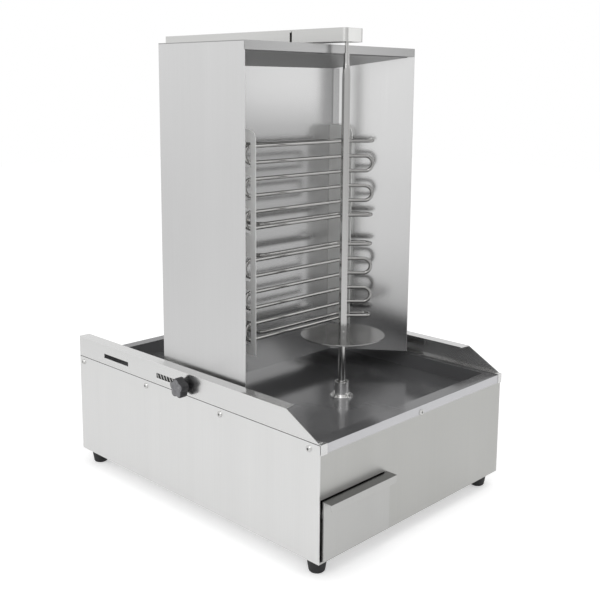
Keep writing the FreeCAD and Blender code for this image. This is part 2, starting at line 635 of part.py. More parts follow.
node("shaft_bearings", group(bearing(f"{case_roof} - bearing_width"), bearing("case_low")))
seal_ring = rod("z", ("0", "spit_y"), (case_roof, "tray_floor - seal_drop"), "seal_radius")
seal_bore = rod("z", ("0", "spit_y"), (f"{case_roof} - past", "tray_floor + past"),
                "shaft_radius + run_gap")
node("shaft_seal", cut(seal_ring, seal_bore))

ring_top = "tray_floor + ring_thick"
ring_cut = ("tray_floor - past", f"{ring_top} + past")
ring_plate = rod("z", ("0", "spit_y"), ("tray_floor", ring_top), "ring_radius")
ring_bore = rod("z", ("0", "spit_y"), ring_cut, "socket_radius + ring_gap")
node("bearing_flange", cut(ring_plate, ring_bore, *ring_rods(ring_cut, "ring_screw_hole")))
ring_heads = ring_rods((ring_top, f"{ring_top} + ring_screw_rise"), "ring_screw_head")
ring_shanks = ring_rods((case_roof, ring_top), "ring_screw_shank")
node("flange_screws", group(*[join(head, shank) for head, shank in zip(ring_heads, ring_shanks)]))

motor_body = rod("z", ("gear_reach", "spit_y"), ("cover_low - motor_height", "cover_low"), "motor_radius")
motor_bore = rod("z", ("gear_reach", "spit_y"), ("cover_low - motor_bore_depth", "cover_low + past"),
                 "motor_shaft + run_gap")
node("motor_can", cut(motor_body, motor_bore))


def gear(teeth, width, bore_radius, start_turn):
    # an involute gear of straight flank steps, its teeth thinned a little for backlash
    pressure, root_depth, steps = math.radians(20), 1.25, 4
    module = size("gear_module")
    pitch_radius = module * teeth / 2
    base_radius = pitch_radius * math.cos(pressure)
    root_radius = pitch_radius - root_depth * module
    flank_low = max(base_radius, root_radius)
    tip_radius = pitch_radius + module
    flat = math.tan(pressure) - pressure
    half_tooth = math.pi / (2 * teeth) - size("gear_backlash") / pitch_radius / 2
    flank = []
    for step in range(steps + 1):
        radius = flank_low + (tip_radius - flank_low) * step / steps
        ratio = min(1.0, base_radius / radius)
        spread = math.tan(math.acos(ratio)) - math.acos(ratio)
        flank.append((radius, half_tooth + flat - spread))
    corners = []
    for tooth in range(teeth):
        middle = 2 * math.pi * tooth / teeth + start_turn
        side = [(root_radius, middle - flank[0][1])] + [(r, middle - a) for r, a in flank]
        side += [(r, middle + a) for r, a in reversed(flank)] + [(root_radius, middle + flank[0][1])]
        corners += [Vector(r * math.cos(a), r * math.sin(a), 0) for r, a in side]
    face = Part.Face(Part.makePolygon(corners + [corners[0]]))
    solid = face.extrude(Vector(0, 0, width))
    if bore_radius:
        solid = solid.cut(Part.makeCylinder(bore_radius, width))
    return solid


def fixed_shape(name, shape, x="0", y="0", z="0"):
    piece = doc.addObject("Part::Feature", name)
    piece.Shape = shape
    return place(piece, x, y, z)


wheel = gear(count("gear_teeth"), size("gear_width"), size("shaft_radius"), 0)
node("drive_gear", fixed_shape("gear", wheel, "0", "spit_y", "gear_low"))
pinion = gear(count("pinion_teeth"), size("pinion_width"), 0, math.pi + math.pi / count("pinion_teeth"))
pinion_low = "gear_low - pinion_lead"
pinion_wheel = fixed_shape("pinion", pinion, "gear_reach", "spit_y", pinion_low)
pinion_stem = rod("z", ("gear_reach", "spit_y"),
                  ("cover_low - motor_bore_depth + motor_end_gap", pinion_low), "motor_shaft")
node("motor_pinion", join(pinion_wheel, pinion_stem))

# Spit: shaft, socket, square bar with its disc, and the tip that runs in the arm

node("drive_shaft", rod("z", ("0", "spit_y"), ("case_low + slide_gap", "seat_z"), "shaft_radius"))
socket_body = rod("z", ("0", "spit_y"), ("socket_low", "socket_top"), "socket_radius")
socket_bore = rod("z", ("0", "spit_y"), ("socket_low - past", "socket_top + past"), "shaft_radius")
socket_cup = rod("z", ("0", "spit_y"), ("socket_top - socket_cup_depth", "socket_top + past"), "socket_cup")


def spit_block(length, width, span, turn):
    # an upright block centred on the spit's axis and turned about it
    piece = block(("0", length), ("0", width), span)
    across, along = f"({length}) / 2", f"({width}) / 2"
    return place(piece, f"-{across} * cos({turn} * 1 deg) + {along} * sin({turn} * 1 deg)",
                 f"spit_y - {across} * sin({turn} * 1 deg) - {along} * cos({turn} * 1 deg)", span[0],
                 Rotation(Vector(0, 0, 1), size(turn)))


def cross_pin(length, radius, z, turn):
    # a level pin through the spit's axis
    pin = rod("x", ("0", "0"), ("0", length), radius)
    return place(pin, f"-{length} / 2 * cos({turn} * 1 deg)", f"spit_y - {length} / 2 * sin({turn} * 1 deg)",
                 z, Rotation(Vector(0, 0, 1), size(turn)) * turns["x"])


def square_bar(low, high):
    return spit_block("bar_side", "bar_side", (low, high), "bar_turn")


def drive_pin():
    return cross_pin("pin_length", "pin_radius", "socket_top - key_depth + pin_radius + pin_rest", "key_turn")


def disc_pin():
    return cross_pin("disc_pin_length", "disc_pin_radius", "disc_height + disc_pin_rise", "bar_turn")


key_slot = spit_block("2 * (socket_radius + past)", "key_width",
                      ("socket_top - key_depth", "socket_top + past"), "key_turn")
node("drive_socket", cut(socket_body, socket_bore, socket_cup, key_slot))
lower_shaft = rod("z", ("0", "spit_y"), ("seat_z", "disc_height - disc_sheet"), "shaft_radius")
bar = join(square_bar("disc_height - disc_sheet", "taper_top"),
           rod("z", ("0", "spit_y"), ("taper_top", "collar_top"), "collar_radius"),
           rod("z", ("0", "spit_y"), ("collar_top", "tip_top"), "tip_radius"))
taper_sleeve = cut(rod("z", ("0", "spit_y"), ("bar_top", "taper_top"), "bar_side"),
                   cone(("0", "spit_y"), ("bar_top", "taper_top"), "bar_side * sqrt(0.5) + run_gap",
                        "collar_radius"))
node("spit_bar", cut(join(lower_shaft, bar), taper_sleeve, drive_pin(), disc_pin()))
node("cross_pins", group(drive_pin(), disc_pin()))
disc_plate = rod("z", ("0", "spit_y"), ("disc_height - disc_sheet", "disc_height"), "disc_radius")
node("meat_disc", cut(disc_plate, square_bar("disc_height - disc_sheet - past", "disc_height + past")))

# Arm: a hinged front half over the spit, a fixed rear half and its post

front_end = "front_y + arm_front"
front_rear = "joint_y - arm_slit / 2"


def rounded_front(inset, low, high):
    # the arm's front half, its two front corners round
    wide = block(("-arm_width / 2 + " + inset, "arm_width / 2 - " + inset),
                 (f"{front_end} + arm_round", f"{front_rear} - {inset}"), (low, high))
    nose = block(("-arm_width / 2 + arm_round", "arm_width / 2 - arm_round"),
                 (f"{front_end} + {inset}", f"{front_end} + arm_round"), (low, high))
    corners = [rod("z", (x, f"{front_end} + arm_round"), (low, high), f"arm_round - {inset}")
               for x in ("-arm_width / 2 + arm_round", "arm_width / 2 - arm_round")]
    return join(wide, nose, *corners)


tip_clear = "tip_radius + slide_gap"
arm_floor_cut = ("arm_low - past", "arm_low + arm_wall + past")
arm_bore = join(rod("z", ("0", "spit_y"), arm_floor_cut, tip_clear),
                rod("z", ("0", "spit_y + arm_slot_back"), arm_floor_cut, tip_clear),
                block((f"-({tip_clear})", tip_clear), ("spit_y", "spit_y + arm_slot_back"), arm_floor_cut))
front_knuckle = rod("x", ("joint_y", "joint_z"), ("-knuckle_half + join_gap", "knuckle_half - join_gap"),
                    "knuckle_radius")
front_web = block(("-knuckle_half + join_gap", "knuckle_half - join_gap"),
                  (f"{front_rear} - arm_wall", "joint_y"), ("joint_z - knuckle_radius", "arm_top"))
pin_way = rod("x", ("joint_y", "joint_z"), ("-arm_width / 2 - past", "arm_width / 2 + past"),
              "hinge_pin + run_gap")
arm_shell = cut(rounded_front("0", "arm_low", "arm_top"),
                rounded_front("arm_wall", "arm_low + arm_wall", "arm_top - arm_wall"), arm_bore)
node("arm_front", cut(join(arm_shell, front_web, front_knuckle), pin_way))

rear_face = "joint_y + arm_slit / 2"
rear_outer = block(("-arm_width / 2", "arm_width / 2"), (rear_face, "post_y + post_depth"),
                   ("arm_low", "arm_top"))
rear_hollow = block(("-arm_width / 2 + arm_wall", "arm_width / 2 - arm_wall"),
                    (f"{rear_face} + arm_wall", "post_y + post_depth - arm_wall"),
                    ("arm_low - past", "arm_top - arm_wall"))
rear_knuckles = []
for side in (("-arm_width / 2", "-knuckle_half"), ("knuckle_half", "arm_width / 2")):
    rear_knuckles.append(rod("x", ("joint_y", "joint_z"), side, "knuckle_radius"))
    rear_knuckles.append(block(side, ("joint_y", f"{rear_face} + knuckle_root"),
                               ("joint_z - knuckle_radius", "arm_top")))
swing_room = block(("-knuckle_half", "knuckle_half"), (f"{rear_face} - past", f"{rear_face} + knuckle_root"),
                   ("joint_z - knuckle_radius - past", "arm_top + past"))
node("arm_rear", cut(join(cut(rear_outer, rear_hollow), *rear_knuckles), pin_way, swing_room))
node("arm_hinge_pin", rod("x", ("joint_y", "joint_z"), ("-arm_width / 2", "arm_width / 2"), "hinge_pin"))

post_outer = block(("-post_width / 2", "post_width / 2"), ("post_y", "post_y + post_depth"),
                   ("seam_height", "arm_low"))
post_hollow = block(("-post_width / 2 + post_wall", "post_width / 2 - post_wall"),
                    ("post_y + post_wall", "post_y + post_depth - post_wall"),
                    ("seam_height - past", "arm_low + past"))
node("support_post", cut(post_outer, post_hollow))

# Tower: casing of side walls, rear cover, cap and floor round the reflector

side_top = "tower_top - tower_sheet"
wall_outline = [
    ("-tower_half", "tower_y"), ("-tower_inner", "tower_y"), ("-tower_inner", "tower_rear - tower_sheet"),
    ("-tower_inner + rear_fold", "tower_rear - tower_sheet"), ("-tower_inner + rear_fold", "tower_rear"),
    ("-tower_half", "tower_rear"),
]


def outward(side, near, far):
    # a span between two distances from the middle, on the left or the right
    return (f"-({far})", f"-({near})") if side == "left" else (near, far)


def side_wall(side):
    # the notches leave room for the cap's front and for the clamp's nut
    across = outward(side, "tower_inner - past", "tower_half + past")
    fascia_notch = block(across, ("tower_y - past", "tower_y + tower_sheet"),
                         ("ceiling_front", "tower_top + past"))
    nut_reach = "(nut_side / 2 + nut_room)"
    nut_notch = block(across, (f"knob_y - {nut_reach}", f"knob_y + {nut_reach}"),
                      ("tower_low - past", f"slot_z + {nut_reach}"))
    outline = wall_outline if side == "left" else mirror_outline(wall_outline)
    return cut(profile("XY", ("tower_low", side_top), outline), fascia_notch, nut_notch)


node("tower_side_left", side_wall("left"))
node("tower_side_right", side_wall("right"))

cap_plate = block(("-tower_half", "tower_half"), ("tower_y", "tower_rear"), (side_top, "tower_top"))
cap_front = block(("-tower_half", "tower_half"), ("tower_y", "tower_y + tower_sheet"),
                  ("ceiling_front", "tower_top"))
cap_hem = block(("-tower_inner + join_gap", "tower_inner - join_gap"),
                ("tower_y", "tower_y + tower_sheet + hem_width"),
                ("ceiling_front", "ceiling_front + tower_sheet"))
node("tower_top_cap", join(cap_plate, cap_front, cap_hem))

cover_vents = [rectangle(("-cover_vent_half", "cover_vent_half"),
                         (f"tower_low + cover_vent_low + cover_vent_pitch * {k}",
                          f"tower_low + cover_vent_low + cover_vent_pitch * {k} + vent_width"))
               for k in range(count("vent_rows"))]
node("tower_rear_cover", profile(
    "XZ", ("tower_rear - 2 * tower_sheet", "tower_rear - tower_sheet"),
    rectangle(("-tower_inner + join_gap", "tower_inner - join_gap"), ("tower_low + tower_sheet", side_top)),
    cover_vents))

floor_front = "tower_y + 2 * wing_clear / wing_in"
node("tower_floor", profile("XY", ("tower_low", "tower_low + tower_sheet"), [
    ("-tower_inner", floor_front), ("-tower_inner", "tower_rear - tower_sheet"),
    ("tower_inner", "tower_rear - tower_sheet"), ("tower_inner", floor_front),
    ("back_half + wing_clear", "back_y + wing_clear"), ("-back_half - wing_clear", "back_y + wing_clear")]))

wing_outline = [
    ("-tower_inner", "tower_y"), ("-back_half", "back_y"),
    ("-back_half - reflector_sheet * wing_back", "back_y + reflector_sheet * wing_in"),
    ("-tower_inner", "tower_y + reflector_sheet / wing_in"),
]
node("reflector_wing_left", profile("XY", ("tower_low", "ceiling_front"), wing_outline))
node("reflector_wing_right", profile("XY", ("tower_low", "ceiling_front"), mirror_outline(wing_outline)))

# the back wall's side flanges lie on the wings and show as bright bands
band_in = "band_width * wing_in"
band_forward = "band_width * wing_back"
skin = "reflector_sheet"
back_outline = [
    ("-back_half", "back_y + reflector_sheet"), ("back_half", "back_y + reflector_sheet"),
    ("back_half", "back_y"),
    (f"back_half + {band_in}", f"back_y - {band_forward}"),
    (f"back_half + {band_in} - {skin} * wing_back", f"back_y - {band_forward} - {skin} * wing_in"),
    (f"back_half - {skin} * (1 - wing_in) / wing_back", "back_y"),
]
back_left = [
    ("-back_half + reflector_sheet * (1 - wing_in) / wing_back", "back_y"),
    (f"-back_half - {band_in} + {skin} * wing_back", f"back_y - {band_forward} - {skin} * wing_in"),
    (f"-back_half - {band_in}", f"back_y - {band_forward}"),
    ("-back_half", "back_y"),
]
terminal_heights = [f"tower_low + {rise} - pass_pitch * {step}"
                    for rise in ("upper_rise", "lower_rise") for step in ("0", "(pass_count - 1)")]
back_sheet = profile("XY", ("tower_low", "ceiling_rear"), back_outline + back_left)
back_drills = [rod("y", ("-terminal_left", z), ("back_y - through", "back_y + through"),
                   "bush_radius - bush_step") for z in terminal_heights]
node("reflector_back", cut(back_sheet, *back_drills))

ceiling_sheet = profile("YZ", ("-tower_inner", "tower_inner"), [
    ("tower_y + tower_sheet", "ceiling_front"), ("back_y", "ceiling_rear"),
    ("back_y", "ceiling_rear + tower_sheet"), ("tower_y + tower_sheet", "ceiling_front + tower_sheet")])
ceiling_start = "tower_sheet + hem_width + join_gap"
ceiling_half = f"tower_inner - ({ceiling_start}) * (tower_inner - back_half) / back_recess - join_gap"
ceiling_room = profile("XY", ("ceiling_rear - past", "tower_top"), [
    (f"-({ceiling_half})", f"tower_y + {ceiling_start}"), ("-back_half + join_gap", "back_y"),
    ("back_half - join_gap", "back_y"), (ceiling_half, f"tower_y + {ceiling_start}")])
node("reflector_ceiling", common(ceiling_sheet, ceiling_room))

# Heating elements: one long tube each, in six passes with round bends


def element_path():
    # the passes cross the tower and bend forwards at its right; the outer two return behind them
    pitch = size("pass_pitch")
    passes = count("pass_count")
    back = size("return_recess") - size("tube_recess")
    corner = size("terminal_bend")
    end_y = size("back_recess") - size("tube_recess") + size("reflector_sheet") + size("terminal_length")
    half = size("tower_width") / 2
    out_x = size("terminal_inset") - half
    left_x = size("bend_inset") - half + pitch / 2
    bend_x = half - size("side_bend_inset")
    turn = math.radians(size("side_bend_angle"))
    ahead = Vector(math.cos(turn), -math.sin(turn), 0)
    behind = Vector(math.sin(turn), math.cos(turn), 0)
    hub = Vector(bend_x, -size("side_bend_radius"), 0)
    edges = []

    def line(a, b):
        edges.append(Part.LineSegment(a, b).toShape())

    def arc(a, middle, b):
        edges.append(Part.Arc(a, middle, b).toShape())

    def side_bend(level, radius, far, outgoing):
        # from the start of the bend to a point further along the bent part
        start = hub + level + Vector(0, radius, 0)
        middle = hub + level + Vector(math.sin(turn / 2), math.cos(turn / 2), 0) * radius
        end = hub + level + behind * radius
        if outgoing:
            arc(start, middle, end)
            line(end, end + ahead * far)
        else:
            line(end + ahead * far, end)
            arc(end, middle, start)

    def lead(level, incoming):
        # terminal, rear pass and hairpin of an outer pass
        hairpin = back / 2
        far = size("side_reach") - hairpin
        slant = corner * (1 - math.sqrt(0.5))
        tail, knee = Vector(out_x, end_y, 0) + level, Vector(out_x, back + corner, 0) + level
        elbow, ankle = Vector(out_x + slant, back + slant, 0) + level, Vector(out_x + corner, back, 0) + level
        near = hub + level + behind * size("side_bend_radius") + ahead * far
        tip = near + behind * hairpin + ahead * hairpin
        if incoming:
            line(tail, knee)
            arc(knee, elbow, ankle)
            line(ankle, Vector(bend_x, back, 0) + level)
            side_bend(level, size("side_bend_radius") + back, far, True)
            arc(near + behind * back, tip, near)
        else:
            arc(near, tip, near + behind * back)
            side_bend(level, size("side_bend_radius") + back, far, False)
            line(Vector(bend_x, back, 0) + level, ankle)
            arc(ankle, elbow, knee)
            line(knee, tail)

    levels = [Vector(0, 0, -pitch * step) for step in range(passes)]
    drop = Vector(0, 0, pitch / 2)
    reach = size("side_reach") - pitch / 2
    lead(levels[0], True)
    side_bend(levels[0], size("side_bend_radius"), size("side_reach") - back / 2, False)
    line(Vector(bend_x, 0, 0) + levels[0], Vector(left_x, 0, 0) + levels[0])
    for step in range(1, passes):
        upper, level = levels[step - 1], levels[step]
        if step % 2:
            arc(Vector(left_x, 0, 0) + upper, Vector(left_x - pitch / 2, 0, 0) + upper - drop,
                Vector(left_x, 0, 0) + level)
            line(Vector(left_x, 0, 0) + level, Vector(bend_x, 0, 0) + level)
            far = size("side_reach") - back / 2 if step == passes - 1 else reach
            side_bend(level, size("side_bend_radius"), far, True)
        else:
            end = hub + behind * size("side_bend_radius") + ahead * reach
            arc(end + upper, end + upper - drop + ahead * (pitch / 2), end + level)
            side_bend(level, size("side_bend_radius"), reach, False)
            line(Vector(bend_x, 0, 0) + level, Vector(left_x, 0, 0) + level)
    lead(levels[-1], False)
    return Part.Wire(edges)


def element(rise):
    path = element_path()
    section = Part.Wire(Part.Circle(path.Edges[0].Vertexes[0].Point, Vector(0, 1, 0),
                                    size("tube_radius")).toShape())
    tube = path.makePipeShell([section], True, True)
    expected = math.pi * size("tube_radius") ** 2 * path.Length
    print("element volume over section times length", round(tube.Volume / expected, 4))
    return fixed_shape("element", tube, "0", "tube_y", f"tower_low + {rise}")


node("element_upper", element("upper_rise"))
node("element_lower", element("lower_rise"))

bush_end = "back_y + reflector_sheet + bush_length"


def bush(z):
    # a collar on both sides of the back wall
    stem = rod("y", ("-terminal_left", z), ("back_y", bush_end), "bush_radius - bush_step")
    head = rod("y", ("-terminal_left", z), ("back_y - bush_head", "back_y"), "bush_radius")
    bore = rod("y", ("-terminal_left", z), ("back_y - bush_head - past", f"{bush_end} + past"), "tube_radius")
    return cut(join(stem, head), bore)


node("element_bushes", group(*[bush(z) for z in terminal_heights]))
terminal_end = "back_y + reflector_sheet + terminal_length"
node("terminal_blocks", group(*[block(
    ("-terminal_left - block_depth / 2", "-terminal_left + block_depth / 2"),
    (terminal_end, f"{terminal_end} + block_depth"), (f"{z} - block_height / 2", f"{z} + block_height / 2"))
    for z in terminal_heights]))

# Element brackets: two stamped plates that space the passes

bend_centres = [f"tower_low + {rise} - pass_pitch * {0.5 + 2 * pair}"
                for rise in ("upper_rise", "lower_rise") for pair in range(count("pass_count") // 2)]
plate_low, plate_high = "tower_low + bracket_low", "tower_low + bracket_high"


def bracket_outline(front, back):
    # an upright plate with an eased top corner at its front
    return [(front, plate_low), (back, plate_low), (back, plate_high),
            (f"{front} + bracket_corner", plate_high),
            (f"{front} + bracket_ease", f"{plate_high} - bracket_ease"),
            (front, f"{plate_high} - bracket_corner")]


wing_line = "tower_y + (tower_inner - left_bracket) / wing_in * wing_back"
left_slots = [rectangle(("tube_y - slot_front", "tube_y + slot_front"),
                        (f"{z} - slot_tall / 2", f"{z} + slot_tall / 2")) for z in bend_centres]
node("element_bracket_left", profile("YZ", ("-left_bracket", "-left_bracket + bracket_sheet"),
                                     bracket_outline("tower_y + left_bracket_front", wing_line), left_slots))

bracket_front = "tube_y + tube_radius + slide_gap"
return_y = ("tube_y - side_bend_radius"
            " + sqrt(return_radius ^ 2 - (right_bracket - bracket_sheet / 2 - side_bend_x) ^ 2)")
right_holes = [(return_y, z, "bracket_hole") for z in terminal_heights]
right_holes.append((f"{bracket_front} + hook_hole_in", f"{plate_high} - hook_hole_in", "hook_hole"))
node("element_bracket_right", profile("YZ", ("right_bracket - bracket_sheet", "right_bracket"),
                                      bracket_outline(bracket_front, "back_y"), right_holes))

# Slide carriers under the tower and their clamp knobs, one on each side

carrier_outline = [
    ("-carrier_inner", "tower_low"), ("-carrier_web", "tower_low"),
    ("-carrier_web", "foot_rest + carrier_sheet"), ("-tab_inner", "foot_rest + carrier_sheet"),
    ("-tab_inner", "foot_rest + tab_height"), ("-tab_outer", "foot_rest + tab_height"),
    ("-tab_outer", "foot_rest"),
    ("-carrier_web + carrier_sheet", "foot_rest"),
    ("-carrier_web + carrier_sheet", "tower_low - carrier_sheet"),
    ("-carrier_inner", "tower_low - carrier_sheet"),
]


def slide_bracket(side):
    outline = carrier_outline if side == "left" else mirror_outline(carrier_outline)
    plate = profile("XZ", ("carrier_y", "carrier_end"), outline)
    window = block(outward(side, "carrier_web + join_gap", "half_width"),
                   ("carrier_y + front_tab", "carrier_end - rear_tab"),
                   ("foot_rest - past", "foot_rest + tab_height + past"))
    nut = block(outward(side, "tab_inner - nut_thick", "tab_inner + join_gap"),
                ("knob_y - nut_side / 2", "knob_y + nut_side / 2"),
                ("slot_z - nut_side / 2", "slot_z + nut_side / 2"))
    thread = rod("x", ("knob_y", "slot_z"), outward(side, "tab_inner - nut_thick - past", "half_width"),
                 "stud_radius + run_gap")
    return cut(join(cut(plate, window), nut), thread)


node("slide_bracket_left", slide_bracket("left"))
node("slide_bracket_right", slide_bracket("right"))


def clamp_stud():
    return rod("x", ("knob_y", "slot_z"), ("-knob_face", "-tab_inner + nut_thick + stud_tail"), "stud_radius")


def clamp_knob():
    hub = rod("x", ("knob_y", "slot_z"), ("-knob_face", "-half_width - run_gap"), "hub_radius")
    hub_bore = rod("x", ("knob_y", "slot_z"), ("-knob_face", "-half_width"), "stud_radius")
    span = ("-knob_face - knob_thick", "-knob_face")
    core = rod("x", ("knob_y", "slot_z"), span, "knob_radius")
    lobes = [rod("x", (f"knob_y + lobe_orbit * sin({360 * k} * 1 deg / lobe_count)",
                       f"slot_z + lobe_orbit * cos({360 * k} * 1 deg / lobe_count)"), span, "lobe_radius")
             for k in range(count("lobe_count"))]
    return join(cut(hub, hub_bore), core, *lobes)


node("clamp_stud_left", clamp_stud())
node("clamp_stud_right", mirrored(clamp_stud()))
node("clamp_knob_left", clamp_knob())
node("clamp_knob_right", mirrored(clamp_knob()))

# Controls on the right panel: two heat regulators and the motor switch

regulators = []
for y in control_places[:2]:
    regulator_box = block(("half_width - wall - control_body_depth", "half_width - wall"),
                          (f"{y} - control_body / 2", f"{y} + control_body / 2"),
                          ("control_height - control_body / 2", "control_height + control_body / 2"))
    spindle_way = rod("x", (y, "control_height"),
                      ("half_width - wall - spindle_depth - spindle_room", "half_width - wall + past"),
                      "spindle_radius + run_gap")
    regulators.append(cut(regulator_box, spindle_way))
node("heat_regulators", group(*regulators))


def dial(y):
    # a skirted dial with a grip bar and its spindle
    dial_low = "half_width + dial_gap"
    skirt = rod("x", (y, "control_height"), (dial_low, f"{dial_low} + dial_skirt"), "dial_radius")
    boss = rod("x", (y, "control_height"), (dial_low, f"{dial_low} + dial_boss_rise"), "dial_boss")
    grip = block((dial_low, f"{dial_low} + dial_thick"), (f"{y} - dial_grip_half", f"{y} + dial_grip_half"),
                 ("control_height - dial_grip_reach", "control_height + dial_grip_reach"))
    spindle = rod("x", (y, "control_height"), ("half_width - wall - spindle_depth", dial_low),
                  "spindle_radius")
    return join(skirt, boss, grip, spindle)


node("heat_dial_upper", dial(control_places[0]))
node("heat_dial_lower", dial(control_places[1]))

switch_y = control_places[2]


def switch_block(x, inset):
    # a box on the switch's middle, its sides drawn in from the switch's own
    return block(x, (f"{switch_y} - switch_width / 2 + {inset}", f"{switch_y} + switch_width / 2 - {inset}"),
                 (f"control_height - switch_height / 2 + {inset}",
                  f"control_height + switch_height / 2 - {inset}"))


frame_box = switch_block(("half_width - wall - switch_depth", "half_width - wall - join_gap"), "0")
frame_way = switch_block(("half_width - wall - switch_depth + switch_wall", "half_width"), "switch_wall")
bezel = cut(switch_block(("half_width", "half_width + bezel_thick"), "-switch_rim"),
            switch_block(("half_width - past", "half_width + bezel_thick + past"), "bezel_wall"))
sleeve = cut(switch_block(("half_width - wall - join_gap", "half_width"), "rocker_side_gap"),
             switch_block(("half_width - wall - past", "half_width + past"), "bezel_wall"))
switch_pivot = rod("y", ("pivot_x", "control_height"),
                   (f"{switch_y} - switch_width / 2 + switch_wall / 2",
                    f"{switch_y} + switch_width / 2 - switch_wall / 2"), "pivot_radius")
node("switch_body", join(cut(frame_box, frame_way), bezel, sleeve, switch_pivot))
rocker_half = "(switch_height / 2 - rocker_end_gap)"
rocker_face = "(half_width + rocker_proud - pivot_x)"


def tilted(out, up):
    # a corner of the rocker, turned about its pivot into the off position
    return (f"pivot_x + ({out}) * cos(rocker_tilt * 1 deg) + ({up}) * sin(rocker_tilt * 1 deg)",
            f"control_height - ({out}) * sin(rocker_tilt * 1 deg) + ({up}) * cos(rocker_tilt * 1 deg)")


rocker_bar = profile("XZ", (f"{switch_y} - switch_width / 2 + rocker_inset",
                            f"{switch_y} + switch_width / 2 - rocker_inset"), [
    tilted("-rocker_foot", "-rocker_foot_half"), tilted("rocker_foot", f"-{rocker_half}"),
    tilted(f"{rocker_face} + rocker_crown", f"-{rocker_half}"), tilted(f"{rocker_face} - rocker_dip", "0"),
    tilted(f"{rocker_face} + rocker_crown", rocker_half), tilted("rocker_foot", rocker_half),
    tilted("-rocker_foot", "rocker_foot_half")])
rocker_way = rod("y", ("pivot_x", "control_height"),
                 (f"{switch_y} - switch_width", f"{switch_y} + switch_width"), "pivot_radius + run_gap")
node("motor_rocker", cut(rocker_bar, rocker_way))

# Cable gland in the rear panel


def gland_rod(span, radius):
    return rod("y", ("-gland_left", "gland_height"), span, radius)


gland_body = join(gland_rod(("rear_y - wall - gland_nut_depth", "rear_y - wall"), "gland_nut"),
                  gland_rod(("rear_y - wall", "rear_y"), "gland_neck"),
                  gland_rod(("rear_y", "rear_y + gland_collar"), "gland_radius"),
                  gland_rod(("rear_y + gland_collar", "rear_y + gland_reach"), "gland_cap"))
gland_way = gland_rod(("rear_y - wall - gland_nut_depth - past", "rear_y + gland_reach + past"), "gland_bore")
node("mains_gland", cut(gland_body, gland_way))

doc.recompute()
for thing in doc.Objects:
    if "Invalid" in thing.State or "Error" in thing.State:
        raise RuntimeError(f"{thing.Name} ({thing.Label}) failed: {thing.State}")
for name, piece in nodes.items():
    if piece.Shape.isNull() or not piece.Shape.isValid() or not piece.Shape.Solids:
        raise RuntimeError(name + " has no valid solid")

os.makedirs("parts", exist_ok=True)
for name, piece in nodes.items():
    piece.Shape.exportStep(f"parts/{name}.step")
print(len(nodes), "nodes")
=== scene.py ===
import bmesh
import bpy
import json
import math
from mathutils import Matrix, Vector

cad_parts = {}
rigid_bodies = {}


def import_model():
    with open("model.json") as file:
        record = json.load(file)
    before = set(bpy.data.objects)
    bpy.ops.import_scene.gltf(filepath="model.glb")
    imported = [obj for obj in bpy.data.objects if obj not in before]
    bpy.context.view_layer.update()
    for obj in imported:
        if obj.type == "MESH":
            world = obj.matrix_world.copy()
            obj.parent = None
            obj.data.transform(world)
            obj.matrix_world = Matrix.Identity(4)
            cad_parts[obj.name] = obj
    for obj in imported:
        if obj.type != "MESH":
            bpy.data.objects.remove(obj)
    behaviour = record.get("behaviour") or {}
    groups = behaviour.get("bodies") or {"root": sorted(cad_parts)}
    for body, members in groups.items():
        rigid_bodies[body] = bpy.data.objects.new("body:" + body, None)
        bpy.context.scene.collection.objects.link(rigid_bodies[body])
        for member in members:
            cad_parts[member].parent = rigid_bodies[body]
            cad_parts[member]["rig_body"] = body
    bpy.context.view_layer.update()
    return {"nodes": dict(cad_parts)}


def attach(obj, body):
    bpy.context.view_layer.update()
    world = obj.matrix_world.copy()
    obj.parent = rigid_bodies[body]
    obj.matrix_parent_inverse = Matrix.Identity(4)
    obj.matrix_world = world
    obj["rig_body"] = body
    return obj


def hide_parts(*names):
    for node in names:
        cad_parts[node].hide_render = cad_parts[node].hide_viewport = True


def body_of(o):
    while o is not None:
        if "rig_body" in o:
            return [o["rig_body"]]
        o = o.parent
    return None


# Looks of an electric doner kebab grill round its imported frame.
# Metres, +Z up, the front faces -Y, the origin is on the floor under the middle of the base.

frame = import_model()
nodes = frame["nodes"]
bodyOf = {name: body_of(node)[0] for name, node in nodes.items()}
print("frame loaded,", len(nodes), "nodes")


# Finishes

sheetGrain = {"detail": 2.0, "smudgeSize": 8.0, "smudgeDetail": 4.0, "smudgeRoughness": 0.55,
              "smudgeScatter": 1.5, "reliefDepth": 0.00002}
mouldGrain = {"detail": 4.0, "cloudSize": 1 / 14, "cloudDetail": 3.0, "grainScatter": 0.06,
              "cloudScatter": 0.08, "reliefDepth": 0.00005}


def blankMaterial(name):
    material = bpy.data.materials.new(name)
    material.use_nodes = True
    tree = material.node_tree
    shader = tree.nodes["Principled BSDF"]
    return material, tree, shader


def objectPlace(tree, scale):
    # object coordinates stretched along a grain
    place = tree.nodes.new("ShaderNodeTexCoord")
    mapping = tree.nodes.new("ShaderNodeMapping")
    mapping.inputs["Scale"].default_value = scale
    tree.links.new(place.outputs["Object"], mapping.inputs["Vector"])
    return mapping.outputs["Vector"]


def noise(tree, vector, scale=1.0, detail=3.0, roughness=0.5):
    grain = tree.nodes.new("ShaderNodeTexNoise")
    grain.inputs["Scale"].default_value = scale
    grain.inputs["Detail"].default_value = detail
    grain.inputs["Roughness"].default_value = roughness
    tree.links.new(vector, grain.inputs["Vector"])
    return grain.outputs["Fac"]


def layered(tree, start, layers):
    # a level round a start value, moved up and down by each pattern's weight
    total = None
    for pattern, weight in layers:
        step = tree.nodes.new("ShaderNodeMath")
        step.operation = "MULTIPLY_ADD"
        step.inputs[1].default_value = 2 * weight
        step.inputs[2].default_value = start - sum(share for _, share in layers)
        tree.links.new(pattern, step.inputs[0])
        if total:
            tree.links.new(total, step.inputs[2])
        total = step.outputs[0]
    return total


